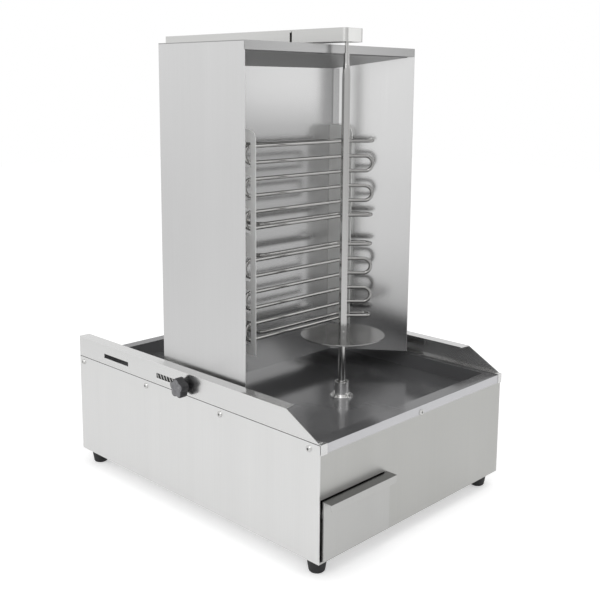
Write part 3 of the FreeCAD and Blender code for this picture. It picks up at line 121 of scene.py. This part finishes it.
def tinted(tree, color, level):
    mix = tree.nodes.new("ShaderNodeVectorMath")
    mix.operation = "SCALE"
    mix.inputs[0].default_value = color
    tree.links.new(level, mix.inputs["Scale"])
    return mix.outputs["Vector"]


def bump(tree, shader, height, strength, distance):
    relief = tree.nodes.new("ShaderNodeBump")
    relief.inputs["Strength"].default_value = strength
    relief.inputs["Distance"].default_value = distance
    tree.links.new(height, relief.inputs["Height"])
    tree.links.new(relief.outputs["Normal"], shader.inputs["Normal"])


grainScales = {  # along the grain the pattern is long, across it fine
    "x": (5, 900, 900),
    "y": (900, 5, 900),
    "z": (900, 900, 5),
    "none": (300, 300, 300),
}
bandScales = {
    "x": (0.6, 22, 22),
    "y": (22, 0.6, 22),
    "z": (22, 22, 0.6),
    "none": (14, 14, 14),
}


def rampedPaintedLight(tree, level, film):
    # painted light and shade: the level changed along one axis, from a share below a place to a share
    # above another
    axis, low, high, below, above = film
    place = tree.nodes.new("ShaderNodeTexCoord")
    split = tree.nodes.new("ShaderNodeSeparateXYZ")
    tree.links.new(place.outputs["Object"], split.inputs["Vector"])
    rise = tree.nodes.new("ShaderNodeMapRange")
    rise.interpolation_type = "SMOOTHSTEP"
    rise.inputs["From Min"].default_value = low
    rise.inputs["From Max"].default_value = high
    rise.inputs["To Min"].default_value = below
    rise.inputs["To Max"].default_value = above
    tree.links.new(split.outputs[axis], rise.inputs["Value"])
    both = tree.nodes.new("ShaderNodeMath")
    both.operation = "MULTIPLY"
    tree.links.new(level, both.inputs[0])
    tree.links.new(rise.outputs["Result"], both.inputs[1])
    return both.outputs[0]


def steel(name, look):
    # brushed or rolled sheet: fine grain, broad faint bands and handling smudges
    material, tree, shader = blankMaterial(name)
    shader.inputs["Metallic"].default_value = look.get("metallic", 1.0)
    fine = noise(tree, objectPlace(tree, grainScales[look["grain"]]), detail=sheetGrain["detail"])
    bands = noise(tree, objectPlace(tree, bandScales[look["grain"]]), detail=sheetGrain["detail"])
    smudges = noise(tree, objectPlace(tree, (1, 1, 1)), look.get("smudgeSize", sheetGrain["smudgeSize"]),
                    sheetGrain["smudgeDetail"], sheetGrain["smudgeRoughness"])
    level = layered(tree, 1.0, [(fine, look["fine"]), (bands, look["bands"]), (smudges, look["smudge"])])
    # painted light or shade along one axis, where the look asks for it
    if "film" in look:
        level = rampedPaintedLight(tree, level, look["film"])
    tree.links.new(tinted(tree, look["color"], level), shader.inputs["Base Color"])
    smudgeScatter = look["scatter"] * sheetGrain["smudgeScatter"]
    rough = layered(tree, look["roughness"], [(fine, look["scatter"]), (smudges, smudgeScatter)])
    tree.links.new(rough, shader.inputs["Roughness"])
    bump(tree, shader, fine, look["relief"], sheetGrain["reliefDepth"])
    return material


def sheetLook(color, roughness, grain, **changes):
    look = {"color": color, "roughness": roughness, "grain": grain, "fine": 0.03, "bands": 0.03,
            "smudge": 0.02, "scatter": 0.015, "relief": 0.06}
    look.update(changes)
    return look


steelLooks = {
    "panelSteel": sheetLook((0.75, 0.75, 0.745), 0.36, "z"),
    # painted shade: the front panel and the drawer front get darker copies of the side panels' steel
    "frontSteel": sheetLook((0.5, 0.5, 0.485), 0.34, "z"),
    "drawerSteel": sheetLook((0.53, 0.53, 0.52), 0.32, "z",
                             film=("Z", 0.1173, 0.1178, 1.0, 0.34)),  # painted shade: the top of the pull darker
    "rearSteel": sheetLook((0.58, 0.58, 0.575), 0.36, "z"),
    "guardSteel": sheetLook((0.72, 0.72, 0.715), 0.22, "y", fine=0.02, bands=0.02),
    "trayPan": sheetLook((0.18, 0.18, 0.185), 0.17, "y", bands=0.04, smudge=0.05, metallic=0.5,
                         film=("Y", -0.2971, -0.2965, 3.4, 1.0)),  # painted highlight: the lip over the front paler
    "towerSteel": sheetLook((0.65, 0.65, 0.65), 0.34, "z"),
    "capSteel": sheetLook((0.36, 0.36, 0.36), 0.3, "x", bands=0.08),
    "wingSteel": sheetLook((0.76, 0.76, 0.76), 0.18, "z",
                           film=("Z", 0.2, 0.6, 0.5, 1.0)),  # painted shade: darker lower down
    "backSteel": sheetLook((0.5, 0.5, 0.5), 0.18, "x", metallic=0.75),
    "ceilingSteel": sheetLook((0.2, 0.2, 0.2), 0.36, "x"),
    "innerSteel": sheetLook((0.5, 0.5, 0.5), 0.42, "z", scatter=0.05),
    "armSteel": sheetLook((0.62, 0.62, 0.61), 0.32, "y"),
    "stampedSteel": sheetLook((0.8, 0.8, 0.79), 0.4, "z", smudge=0.05, metallic=0.6),
    # near-white plate; on the left element bracket its paleness is painted light, standing in for the
    # light the left wing throws on it
    "zincPlateAndPaintedLight": sheetLook((0.94, 0.94, 0.93), 0.45, "z", smudge=0.05, metallic=0.1),
    "towerFloorSteel": sheetLook((0.26, 0.26, 0.265), 0.3, "y"),
    "screwSteel": sheetLook((0.62, 0.62, 0.61), 0.24, "none", fine=0.04),
    "spitSteel": sheetLook((0.52, 0.517, 0.51), 0.16, "z", bands=0.05, smudge=0.05),
    "turnedSteel": sheetLook((0.86, 0.856, 0.85), 0.24, "none", smudge=0.04),
    "discSteel": sheetLook((0.27, 0.268, 0.265), 0.2, "x", smudge=0.06, scatter=0.03),
    "tubeSteel": sheetLook((0.33, 0.327, 0.32), 0.15, "x", bands=0.1, smudge=0.1, scatter=0.03,
                           smudgeSize=30.0),
    "gearSteel": sheetLook((0.48, 0.48, 0.48), 0.32, "none", smudge=0.06),
    "castAlloy": sheetLook((0.5, 0.5, 0.51), 0.52, "none", fine=0.08, smudge=0.08, scatter=0.08,
                           relief=0.6),
}


def moulded(name, look):
    # moulded, painted or fired surfaces with a fine even grain and faint clouds
    material, tree, shader = blankMaterial(name)
    place = objectPlace(tree, (1, 1, 1))
    grain = noise(tree, place, look["size"], mouldGrain["detail"])
    cloud = noise(tree, place, look["size"] * mouldGrain["cloudSize"], mouldGrain["cloudDetail"])
    level = layered(tree, 1.0, [(grain, look["speckle"]), (cloud, look["cloud"])])
    tree.links.new(tinted(tree, look["color"], level), shader.inputs["Base Color"])
    rough = layered(tree, look["roughness"], [(grain, mouldGrain["grainScatter"]),
                                              (cloud, mouldGrain["cloudScatter"])])
    tree.links.new(rough, shader.inputs["Roughness"])
    shader.inputs["Coat Weight"].default_value = look.get("coat", 0.0)
    bump(tree, shader, grain, look["relief"], mouldGrain["reliefDepth"])
    return material


mouldedLooks = {
    "knobPlastic": {"color": (0.018, 0.018, 0.020), "roughness": 0.45, "size": 1500, "speckle": 0.15,
                    "cloud": 0.2, "relief": 0.25},
    # painted sheen: the cap is a paler copy of the knob's black plastic, for the floor's reflection in
    # its face
    "capSheenPlastic": {"color": (0.17, 0.17, 0.18), "roughness": 0.28, "size": 1500, "speckle": 0.1,
                   "cloud": 0.15, "relief": 0.2, "coat": 0.3},
    "blackPlastic": {"color": (0.022, 0.022, 0.025), "roughness": 0.4, "size": 1500, "speckle": 0.15,
                     "cloud": 0.15, "relief": 0.3},
    "blackRubber": {"color": (0.016, 0.016, 0.017), "roughness": 0.62, "size": 900, "speckle": 0.2,
                    "cloud": 0.3, "relief": 0.5},
    "motorPaint": {"color": (0.05, 0.05, 0.055), "roughness": 0.4, "size": 1200, "speckle": 0.1,
                   "cloud": 0.1, "relief": 0.3, "coat": 0.2},
    "firedCeramic": {"color": (0.78, 0.74, 0.66), "roughness": 0.7, "size": 1600, "speckle": 0.08,
                     "cloud": 0.08, "relief": 0.5},
    # painted shade for the screws' driver recesses
    "paintedRecessShade": {"color": (0.03, 0.03, 0.032), "roughness": 0.5, "size": 2000, "speckle": 0.1,
                  "cloud": 0.1, "relief": 0.2},
    # painted shade for the guard seams and behind the index combs
    "paintedGapShade": {"color": (0.02, 0.02, 0.02), "roughness": 0.7, "size": 1400, "speckle": 0.2,
                    "cloud": 0.25, "relief": 0.4},
}

materials = {name: steel(name, look) for name, look in steelLooks.items()}
materials.update({name: moulded(name, look) for name, look in mouldedLooks.items()})
print("finishes made,", len(materials))

nodeFinish = {
    "panelSteel": ["side_panel_left", "side_panel_right"],
    "frontSteel": ["front_panel"],
    "drawerSteel": ["drawer_front"],
    "rearSteel": ["rear_panel", "tower_rear_cover", "support_post"],
    "guardSteel": ["guard_left", "guard_right"],
    "trayPan": ["drip_tray"],
    "towerSteel": ["tower_side_left", "tower_side_right"],
    "capSteel": ["tower_top_cap"],
    "wingSteel": ["reflector_wing_left", "reflector_wing_right"],
    "backSteel": ["reflector_back"],
    "ceilingSteel": ["reflector_ceiling"],
    "innerSteel": ["floor_plate", "drawer_box", "bay_wall", "drawer_runners"],
    "towerFloorSteel": ["tower_floor"],
    "armSteel": ["arm_front", "arm_rear"],
    # painted light: the left element bracket gets the paler plate, its right twin stamped steel
    "zincPlateAndPaintedLight": ["element_bracket_left"],
    "stampedSteel": ["element_bracket_right", "slide_bracket_left", "slide_bracket_right"],
    "screwSteel": ["panel_screws", "flange_screws", "arm_hinge_pin", "clamp_stud_left",
                   "clamp_stud_right"],
    "spitSteel": ["spit_bar", "drive_shaft"],
    "turnedSteel": ["drive_socket", "cross_pins", "bearing_flange"],
    "discSteel": ["meat_disc"],
    "tubeSteel": ["element_upper", "element_lower"],
    "gearSteel": ["drive_gear", "motor_pinion", "shaft_bearings"],
    "castAlloy": ["gearbox_case", "gearbox_cover"],
    "knobPlastic": ["clamp_knob_left", "clamp_knob_right"],
    "blackPlastic": ["heat_dial_upper", "heat_dial_lower", "motor_rocker", "switch_body", "mains_gland"],
    "blackRubber": ["feet", "shaft_seal"],
    "motorPaint": ["motor_can", "heat_regulators"],
    "firedCeramic": ["element_bushes", "terminal_blocks"],
}
finishOf = {}
for finish, names in nodeFinish.items():
    for name in names:
        slots = nodes[name].data.materials
        slots.clear()
        slots.append(materials[finish])
        finishOf[name] = finish


# Shared steps for every piece

def pieceName(node):
    first, *rest = node.split("_")
    return first + "".join(word.capitalize() for word in rest)


edgeSegments = 2


def settle(bm, name, finish, body, edge=None, sharp=32):
    # a finished piece: smooth but for its sharp edges, on its body, with its finish
    mesh = bpy.data.meshes.new(name)
    bm.to_mesh(mesh)
    bm.free()
    leftover = mesh.attributes.get("custom_normal")
    if leftover:
        mesh.attributes.remove(leftover)
    mesh.shade_smooth()
    mesh.set_sharp_from_angle(angle=math.radians(sharp))
    mesh.materials.clear()
    mesh.materials.append(materials[finish])
    piece = bpy.data.objects.new(name, mesh)
    bpy.context.scene.collection.objects.link(piece)
    if edge:
        rounded = piece.modifiers.new("edges", "BEVEL")
        rounded.width = edge
        rounded.segments = edgeSegments
        rounded.limit_method = "ANGLE"
        rounded.angle_limit = math.radians(sharp)
        rounded.harden_normals = True
    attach(piece, body)
    return piece


mergeReach = 0.000003  # metres between two corners that are one
flatAngle = math.radians(0.4)


def wholeMesh(node):
    # a copy of a node's mesh, its loose triangles merged and its flats made whole
    bm = bmesh.new()
    bm.from_mesh(nodes[node].data)
    bmesh.ops.remove_doubles(bm, verts=bm.verts, dist=mergeReach)
    bmesh.ops.dissolve_limit(bm, angle_limit=flatAngle, verts=bm.verts, edges=bm.edges)
    return bm


def dress(node, edge):
    piece = settle(wholeMesh(node), pieceName(node), finishOf[node], bodyOf[node], edge)
    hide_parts(node)


edgeRounding = {  # the broken edge of each pressed, folded or turned part, in metres
    0.0003: ["side_panel_left", "side_panel_right", "front_panel", "rear_panel", "guard_left",
             "guard_right", "tower_side_left", "tower_side_right", "tower_top_cap", "tower_rear_cover",
             "reflector_wing_left", "reflector_wing_right", "reflector_back", "element_bracket_left",
             "element_bracket_right", "slide_bracket_left", "slide_bracket_right", "drip_tray"],
    0.0005: ["arm_front", "arm_rear", "support_post", "drawer_front", "spit_bar", "meat_disc",
             "drive_socket"],
    0.0008: ["feet"],
}
for edge, names in edgeRounding.items():
    for name in names:
        dress(name, edge)
print("sheet metal dressed,", sum(len(names) for names in edgeRounding.values()))


# Helpers for turned and sided pieces

def grow(bm, ring, share, shift):
    # the open ring carried on to a new ring, its size a share of the first one
    out = bmesh.ops.extrude_edge_only(bm, edges=ring)["geom"]
    fresh = [item for item in out if isinstance(item, bmesh.types.BMVert)]
    bmesh.ops.scale(bm, vec=(share, share, 1), verts=fresh)
    bmesh.ops.translate(bm, vec=(0, 0, shift), verts=fresh)
    return [item for item in out if isinstance(item, bmesh.types.BMEdge)
            and all(vert in fresh for vert in item.verts)]


def turnedStack(radius, steps, segments, base=0.0, shape=None):
    # a closed stack of rings up from its base: each step is a radius share and a height
    bm = bmesh.new()
    start = bmesh.ops.create_circle(bm, segments=segments, radius=radius, cap_ends=True)["verts"]
    if shape:
        for vert in start:
            vert.co.xy *= shape(math.atan2(vert.co.y, vert.co.x))
    ring = [edge for edge in bm.edges if all(vert in start for vert in edge.verts)]
    before, low = 1.0, 0.0
    for share, height in steps:
        ring = grow(bm, ring, share / before, height - low)
        before, low = share, height
    bmesh.ops.edgeloop_fill(bm, edges=ring)
    bmesh.ops.translate(bm, vec=(0, 0, base), verts=bm.verts)
    return bm


def absorb(bm, other):
    # the other shape added to this one
    spare = bpy.data.meshes.new("spare")
    other.to_mesh(spare)
    other.free()
    bm.from_mesh(spare)


def faceOut(bm, axis, way, place):
    # a stack's own axis turned outwards along x or y, from a place on the object
    x, y, z = place
    if axis == "x":
        turn = Matrix(((0, 0, way, x), (way, 0, 0, y), (0, 1, 0, z), (0, 0, 0, 1)))
    else:
        turn = Matrix(((way, 0, 0, x), (0, 0, way, y), (0, 1, 0, z), (0, 0, 0, 1)))
    bmesh.ops.transform(bm, matrix=turn, verts=bm.verts)
    bmesh.ops.recalc_face_normals(bm, faces=bm.faces)


def sideWord(side):
    return "Left" if side < 0 else "Right"


# Star knobs that clamp the tower

knobLook = {
    "radius": 0.0130, "lobeReach": 0.0034, "lobes": 5, "lobePower": 0.8, "segments": 120,
    "centre": (-0.006, 0.215), "back": 0.2301, "face": 0.2438, "round": 0.0016, "insetDepth": 0.0006,
    "start": 0.9,  # share of the radius where the rounded back begins
    "rings": [  # radius share, then its height as parts of the thickness, the rounding and the inset
        (0.96, 0, 0.35, 0), (1.0, 0, 1, 0), (1.0, 1, -1, 0), (0.965, 1, -0.35, 0), (0.9, 1, 0, 0),
        (0.53, 1, 0, 0), (0.5, 1, 0, -0.4), (0.5, 1, 0, -1), (0.44, 1, 0, -1), (0.38, 1, 0, -0.3),
        (0.1, 1, 0, -0.1),
    ],
    "hubRadius": 0.0069, "hubLow": 0.2252, "hubFoot": 0.0002, "hubOverlap": 0.0004, "hubSegments": 48,
    "capShare": 0.88, "capSink": 0.0004,
    "capRings": [(1.0, 0.0004), (0.97, 0.0006), (0.5, 0.0006), (0.47, 0.0003), (0.1, 0.0004)],
    "sharp": 40,
}


def knobOutline(angle):
    # lobes round the rim, one of them straight up
    wave = 0.5 + 0.5 * math.cos(knobLook["lobes"] * (angle - math.pi / 2))
    return 1 + knobLook["lobeReach"] / knobLook["radius"] * wave ** knobLook["lobePower"]


def makeKnob(side):
    look = knobLook
    body = "knob_" + sideWord(side).lower()
    centre = (0, *look["centre"])
    thick = look["face"] - look["back"]
    rings = [(share / look["start"], thick * whole + look["round"] * soft + look["insetDepth"] * deep)
             for share, whole, soft, deep in look["rings"]]
    grip = turnedStack(look["radius"] * look["start"], rings, look["segments"], look["back"],
                       knobOutline)
    hubTop = look["back"] - look["hubLow"] + look["hubOverlap"]
    absorb(grip, turnedStack(look["hubRadius"], [(1.0, look["hubFoot"]), (1.0, hubTop)],
                             look["hubSegments"], look["hubLow"]))
    faceOut(grip, "x", side, centre)
    piece = settle(grip, "starKnob" + sideWord(side), "knobPlastic", body,
                   sharp=look["sharp"])
    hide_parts("clamp_" + body)
    # painted sheen: a paler cap set in the knob's face
    cap = turnedStack(look["radius"] * look["capShare"], look["capRings"], look["segments"],
                      look["face"] - look["capSink"], knobOutline)
    faceOut(cap, "x", side, centre)
    settle(cap, "knobCap" + sideWord(side), "capSheenPlastic", body, sharp=look["sharp"])


makeKnob(-1)
makeKnob(1)


# Index combs: slanted bars of the tower's carrier that show in the clamp slots

combLook = {"x": 0.2219, "thick": 0.0006, "front": 0.014, "back": 0.070, "centre": 0.215,
            "height": 0.0086, "pitch": 0.0078, "bar": 0.0013, "lean": 0.55,
            "shadeDepth": 0.0008, "shadeMargin": 0.001, "shadeEdge": 0.0002}


def bar(bm, low, high, lean=0.0):
    # a small bar between two corners, leaning back as it rises
    verts = bmesh.ops.create_cube(bm, size=1)["verts"]
    size = [far - near for near, far in zip(low, high)]
    middle = [(near + far) / 2 for near, far in zip(low, high)]
    bmesh.ops.scale(bm, vec=size, verts=verts)
    if lean:
        slant = Matrix.Identity(4)
        slant[1][2] = lean
        bmesh.ops.transform(bm, matrix=slant, verts=verts)
    bmesh.ops.translate(bm, vec=middle, verts=verts)


def makeComb(side):
    look = combLook
    bm = bmesh.new()
    near, far = sorted((side * look["x"], side * (look["x"] + look["thick"])))
    low = look["centre"] - look["height"] / 2
    high = look["centre"] + look["height"] / 2
    y = look["front"]
    while y < look["back"]:
        bar(bm, (near, y, low), (far, y + look["bar"], high), look["lean"])
        y += look["pitch"]
    settle(bm, "indexComb" + sideWord(side), "zincPlateAndPaintedLight", "tower")
    # painted shade: a dark strip that the bars stand on, for the shade inside the slot
    shade = bmesh.new()
    margin = look["shadeMargin"]
    near, far = sorted((side * (look["x"] - look["shadeDepth"]), side * look["x"]))
    bar(shade, (near, look["front"] - margin, low - margin), (far, look["back"] + margin, high + margin))
    settle(shade, "combShade" + sideWord(side), "paintedGapShade", "tower",
           look["shadeEdge"])


makeComb(-1)
makeComb(1)
print("knobs and index combs made")


# Painted shade: a dark disc in the driver recess of every panel screw

recessLook = {"radius": 0.00135, "low": 0.0010, "high": 0.0016, "rim": 0.0002, "topShare": 0.8,
              "segments": 20, "sideX": 0.225, "endY": 0.2972, "height": 0.190,
              "firstY": -0.275, "lastY": 0.285, "count": 4, "rearX": 0.1125}


def makeRecesses():
    look = recessLook
    bm = bmesh.new()
    pitch = (look["lastY"] - look["firstY"]) / (look["count"] - 1)
    deep = look["high"] - look["low"]
    rings = [(1.0, deep - look["rim"]), (look["topShare"], deep)]
    spots = []
    for side in (-1, 1):
        for k in range(look["count"]):
            spots.append((side * look["sideX"], look["firstY"] + pitch * k, "x", side))
        spots.append((side * look["rearX"], look["endY"], "y", 1))
    spots.append((0.0, -look["endY"], "y", -1))
    for x, y, axis, way in spots:
        disc = turnedStack(look["radius"], rings, look["segments"], look["low"])
        faceOut(disc, axis, way, (x, y, look["height"]))
        absorb(bm, disc)
    settle(bm, "screwRecessShades", "paintedRecessShade", "base")


makeRecesses()
print("screw recesses made")


# Painted shade in the seam under each guard: a dark strip standing in for the shadow of the gap

seamLook = {"outer": 0.22505, "inner": 0.2243, "front": -0.2955, "back": 0.2955,
            "low": 0.1994, "high": 0.2004}


def makeSeam(side):
    look = seamLook
    bm = bmesh.new()
    near, far = sorted((side * look["inner"], side * look["outer"]))
    bar(bm, (near, look["front"], look["low"]), (far, look["back"], look["high"]))
    settle(bm, "guardSeam" + sideWord(side), "paintedGapShade", "base")


makeSeam(-1)
makeSeam(1)
print("guard seams made")


# Stage: a pale floor, soft light and the photograph's camera

stageSizes = {
    "floorHalf": 6.0, "floorWhite": 0.84, "cameraGlow": 0.42, "mirrorGlow": 0.2,
    "softLight": 0.68, "mirrorLight": 0.92,
    "brightSide": (-0.55, 0.35, 0.75), "dimShare": 0.6, "brightShare": 1.2,
}


def raySwitch(tree, rays, names):
    seen = rays.outputs[names[0]]
    for name in names[1:]:
        either = tree.nodes.new("ShaderNodeMath")
        either.operation = "MAXIMUM"
        tree.links.new(seen, either.inputs[0])
        tree.links.new(rays.outputs[name], either.inputs[1])
        seen = either.outputs[0]
    return seen


def between(tree, value, low, high):
    level = tree.nodes.new("ShaderNodeMapRange")
    for socket, end in (("To Min", low), ("To Max", high)):
        if isinstance(end, float):
            level.inputs[socket].default_value = end
        else:
            tree.links.new(end, level.inputs[socket])
    tree.links.new(value, level.inputs["Value"])
    return level.outputs["Result"]


def stageMaterial():
    # the floor shows the object's shadow; a little glow lifts it to white in the picture
    material = bpy.data.materials.new("stageFloor")
    material.use_nodes = True
    tree = material.node_tree
    tree.nodes.clear()
    out = tree.nodes.new("ShaderNodeOutputMaterial")
    matte = tree.nodes.new("ShaderNodeBsdfDiffuse")
    matte.inputs["Color"].default_value = (stageSizes["floorWhite"],) * 3 + (1,)
    glow = tree.nodes.new("ShaderNodeEmission")
    rays = tree.nodes.new("ShaderNodeLightPath")
    mirrored = between(tree, rays.outputs["Is Glossy Ray"], 0.0, stageSizes["mirrorGlow"])
    shown = raySwitch(tree, rays, ["Is Camera Ray", "Is Transmission Ray"])
    tree.links.new(between(tree, shown, mirrored, stageSizes["cameraGlow"]), glow.inputs["Strength"])
    both = tree.nodes.new("ShaderNodeAddShader")
    tree.links.new(matte.outputs[0], both.inputs[0])
    tree.links.new(glow.outputs[0], both.inputs[1])
    tree.links.new(both.outputs[0], out.inputs["Surface"])
    return material


def makeFloor():
    bm = bmesh.new()
    bmesh.ops.create_grid(bm, x_segments=1, y_segments=1, size=stageSizes["floorHalf"])
    mesh = bpy.data.meshes.new("floor")
    bm.to_mesh(mesh)
    bm.free()
    floor = bpy.data.objects.new("floor", mesh)
    bpy.context.scene.collection.objects.link(floor)
    mesh.materials.append(stageMaterial())


def makeWorld():
    # white in the picture; softer as light, and a little brighter from the upper left
    world = bpy.data.worlds.new("studio")
    bpy.context.scene.world = world
    world.use_nodes = True
    tree = world.node_tree
    background = tree.nodes["Background"]
    background.inputs["Color"].default_value = (1, 1, 1, 1)
    rays = tree.nodes.new("ShaderNodeLightPath")
    direction = tree.nodes.new("ShaderNodeTexCoord")
    facing = tree.nodes.new("ShaderNodeVectorMath")
    facing.operation = "DOT_PRODUCT"
    facing.inputs[1].default_value = Vector(stageSizes["brightSide"]).normalized()
    tree.links.new(direction.outputs["Generated"], facing.inputs[0])
    share = tree.nodes.new("ShaderNodeMapRange")
    share.inputs["From Min"].default_value = -1.0
    share.inputs["To Min"].default_value = stageSizes["dimShare"]
    share.inputs["To Max"].default_value = stageSizes["brightShare"]
    tree.links.new(facing.outputs["Value"], share.inputs["Value"])
    level = between(tree, rays.outputs["Is Glossy Ray"],
                    stageSizes["softLight"], stageSizes["mirrorLight"])
    light = tree.nodes.new("ShaderNodeMath")
    light.operation = "MULTIPLY"
    tree.links.new(share.outputs["Result"], light.inputs[0])
    tree.links.new(level, light.inputs[1])
    shown = raySwitch(tree, rays, ["Is Camera Ray", "Is Transmission Ray"])
    tree.links.new(between(tree, shown, light.outputs[0], 1.0), background.inputs["Strength"])


lamps = {  # place, aim, width, height, power
    "keyLamp": ((-2.2, -1.2, 2.0), (0, 0, 0.35), 0.8, 1.5, 14),
    "topLamp": ((0.3, -0.4, 2.6), (0, 0, 0.3), 1.4, 1.4, 8),
    "rightLamp": ((2.0, -2.0, 1.2), (0, 0, 0.35), 0.8, 1.4, 4),
}


def makeLamps():
    for name, (place, aim, width, height, power) in lamps.items():
        light = bpy.data.lights.new(name, "AREA")
        light.shape = "RECTANGLE"
        light.size = width
        light.size_y = height
        light.energy = power
        lamp = bpy.data.objects.new(name, light)
        bpy.context.scene.collection.objects.link(lamp)
        lamp.location = place
        lamp.rotation_euler = (Vector(aim) - Vector(place)).to_track_quat("-Z", "Y").to_euler()


cameraFit = {  # fitted to the edges of the base and the tower in the photograph
    "place": (-1.0823, -1.092, 0.6807), "yaw": 45.7, "pitch": 9.6, "roll": 0.4,
    "focalPixels": 910.3, "framePixels": 600, "centreRow": 240, "sensor": 36,
}


def makeCamera():
    data = bpy.data.cameras.new("camera")
    camera = bpy.data.objects.new("camera", data)
    bpy.context.scene.collection.objects.link(camera)
    data.sensor_width = cameraFit["sensor"]
    data.lens = cameraFit["focalPixels"] / cameraFit["framePixels"] * data.sensor_width
    data.shift_y = (cameraFit["centreRow"] / cameraFit["framePixels"]) - 0.5
    yaw, pitch, roll = (math.radians(cameraFit[key]) for key in ("yaw", "pitch", "roll"))
    ahead = Vector((math.sin(yaw) * math.cos(pitch), math.cos(yaw) * math.cos(pitch), -math.sin(pitch)))
    level = Vector((math.cos(yaw), -math.sin(yaw), 0))
    upright = level.cross(ahead)
    right = level * math.cos(roll) + upright * math.sin(roll)
    up = upright * math.cos(roll) - level * math.sin(roll)
    camera.matrix_world = Matrix((
        (right.x, up.x, -ahead.x, cameraFit["place"][0]),
        (right.y, up.y, -ahead.y, cameraFit["place"][1]),
        (right.z, up.z, -ahead.z, cameraFit["place"][2]),
        (0, 0, 0, 1)))
    bpy.context.scene.camera = camera


makeFloor()
makeWorld()
makeLamps()
makeCamera()
bpy.context.scene.view_settings.view_transform = "Standard"
print("stage, lamps and camera placed")
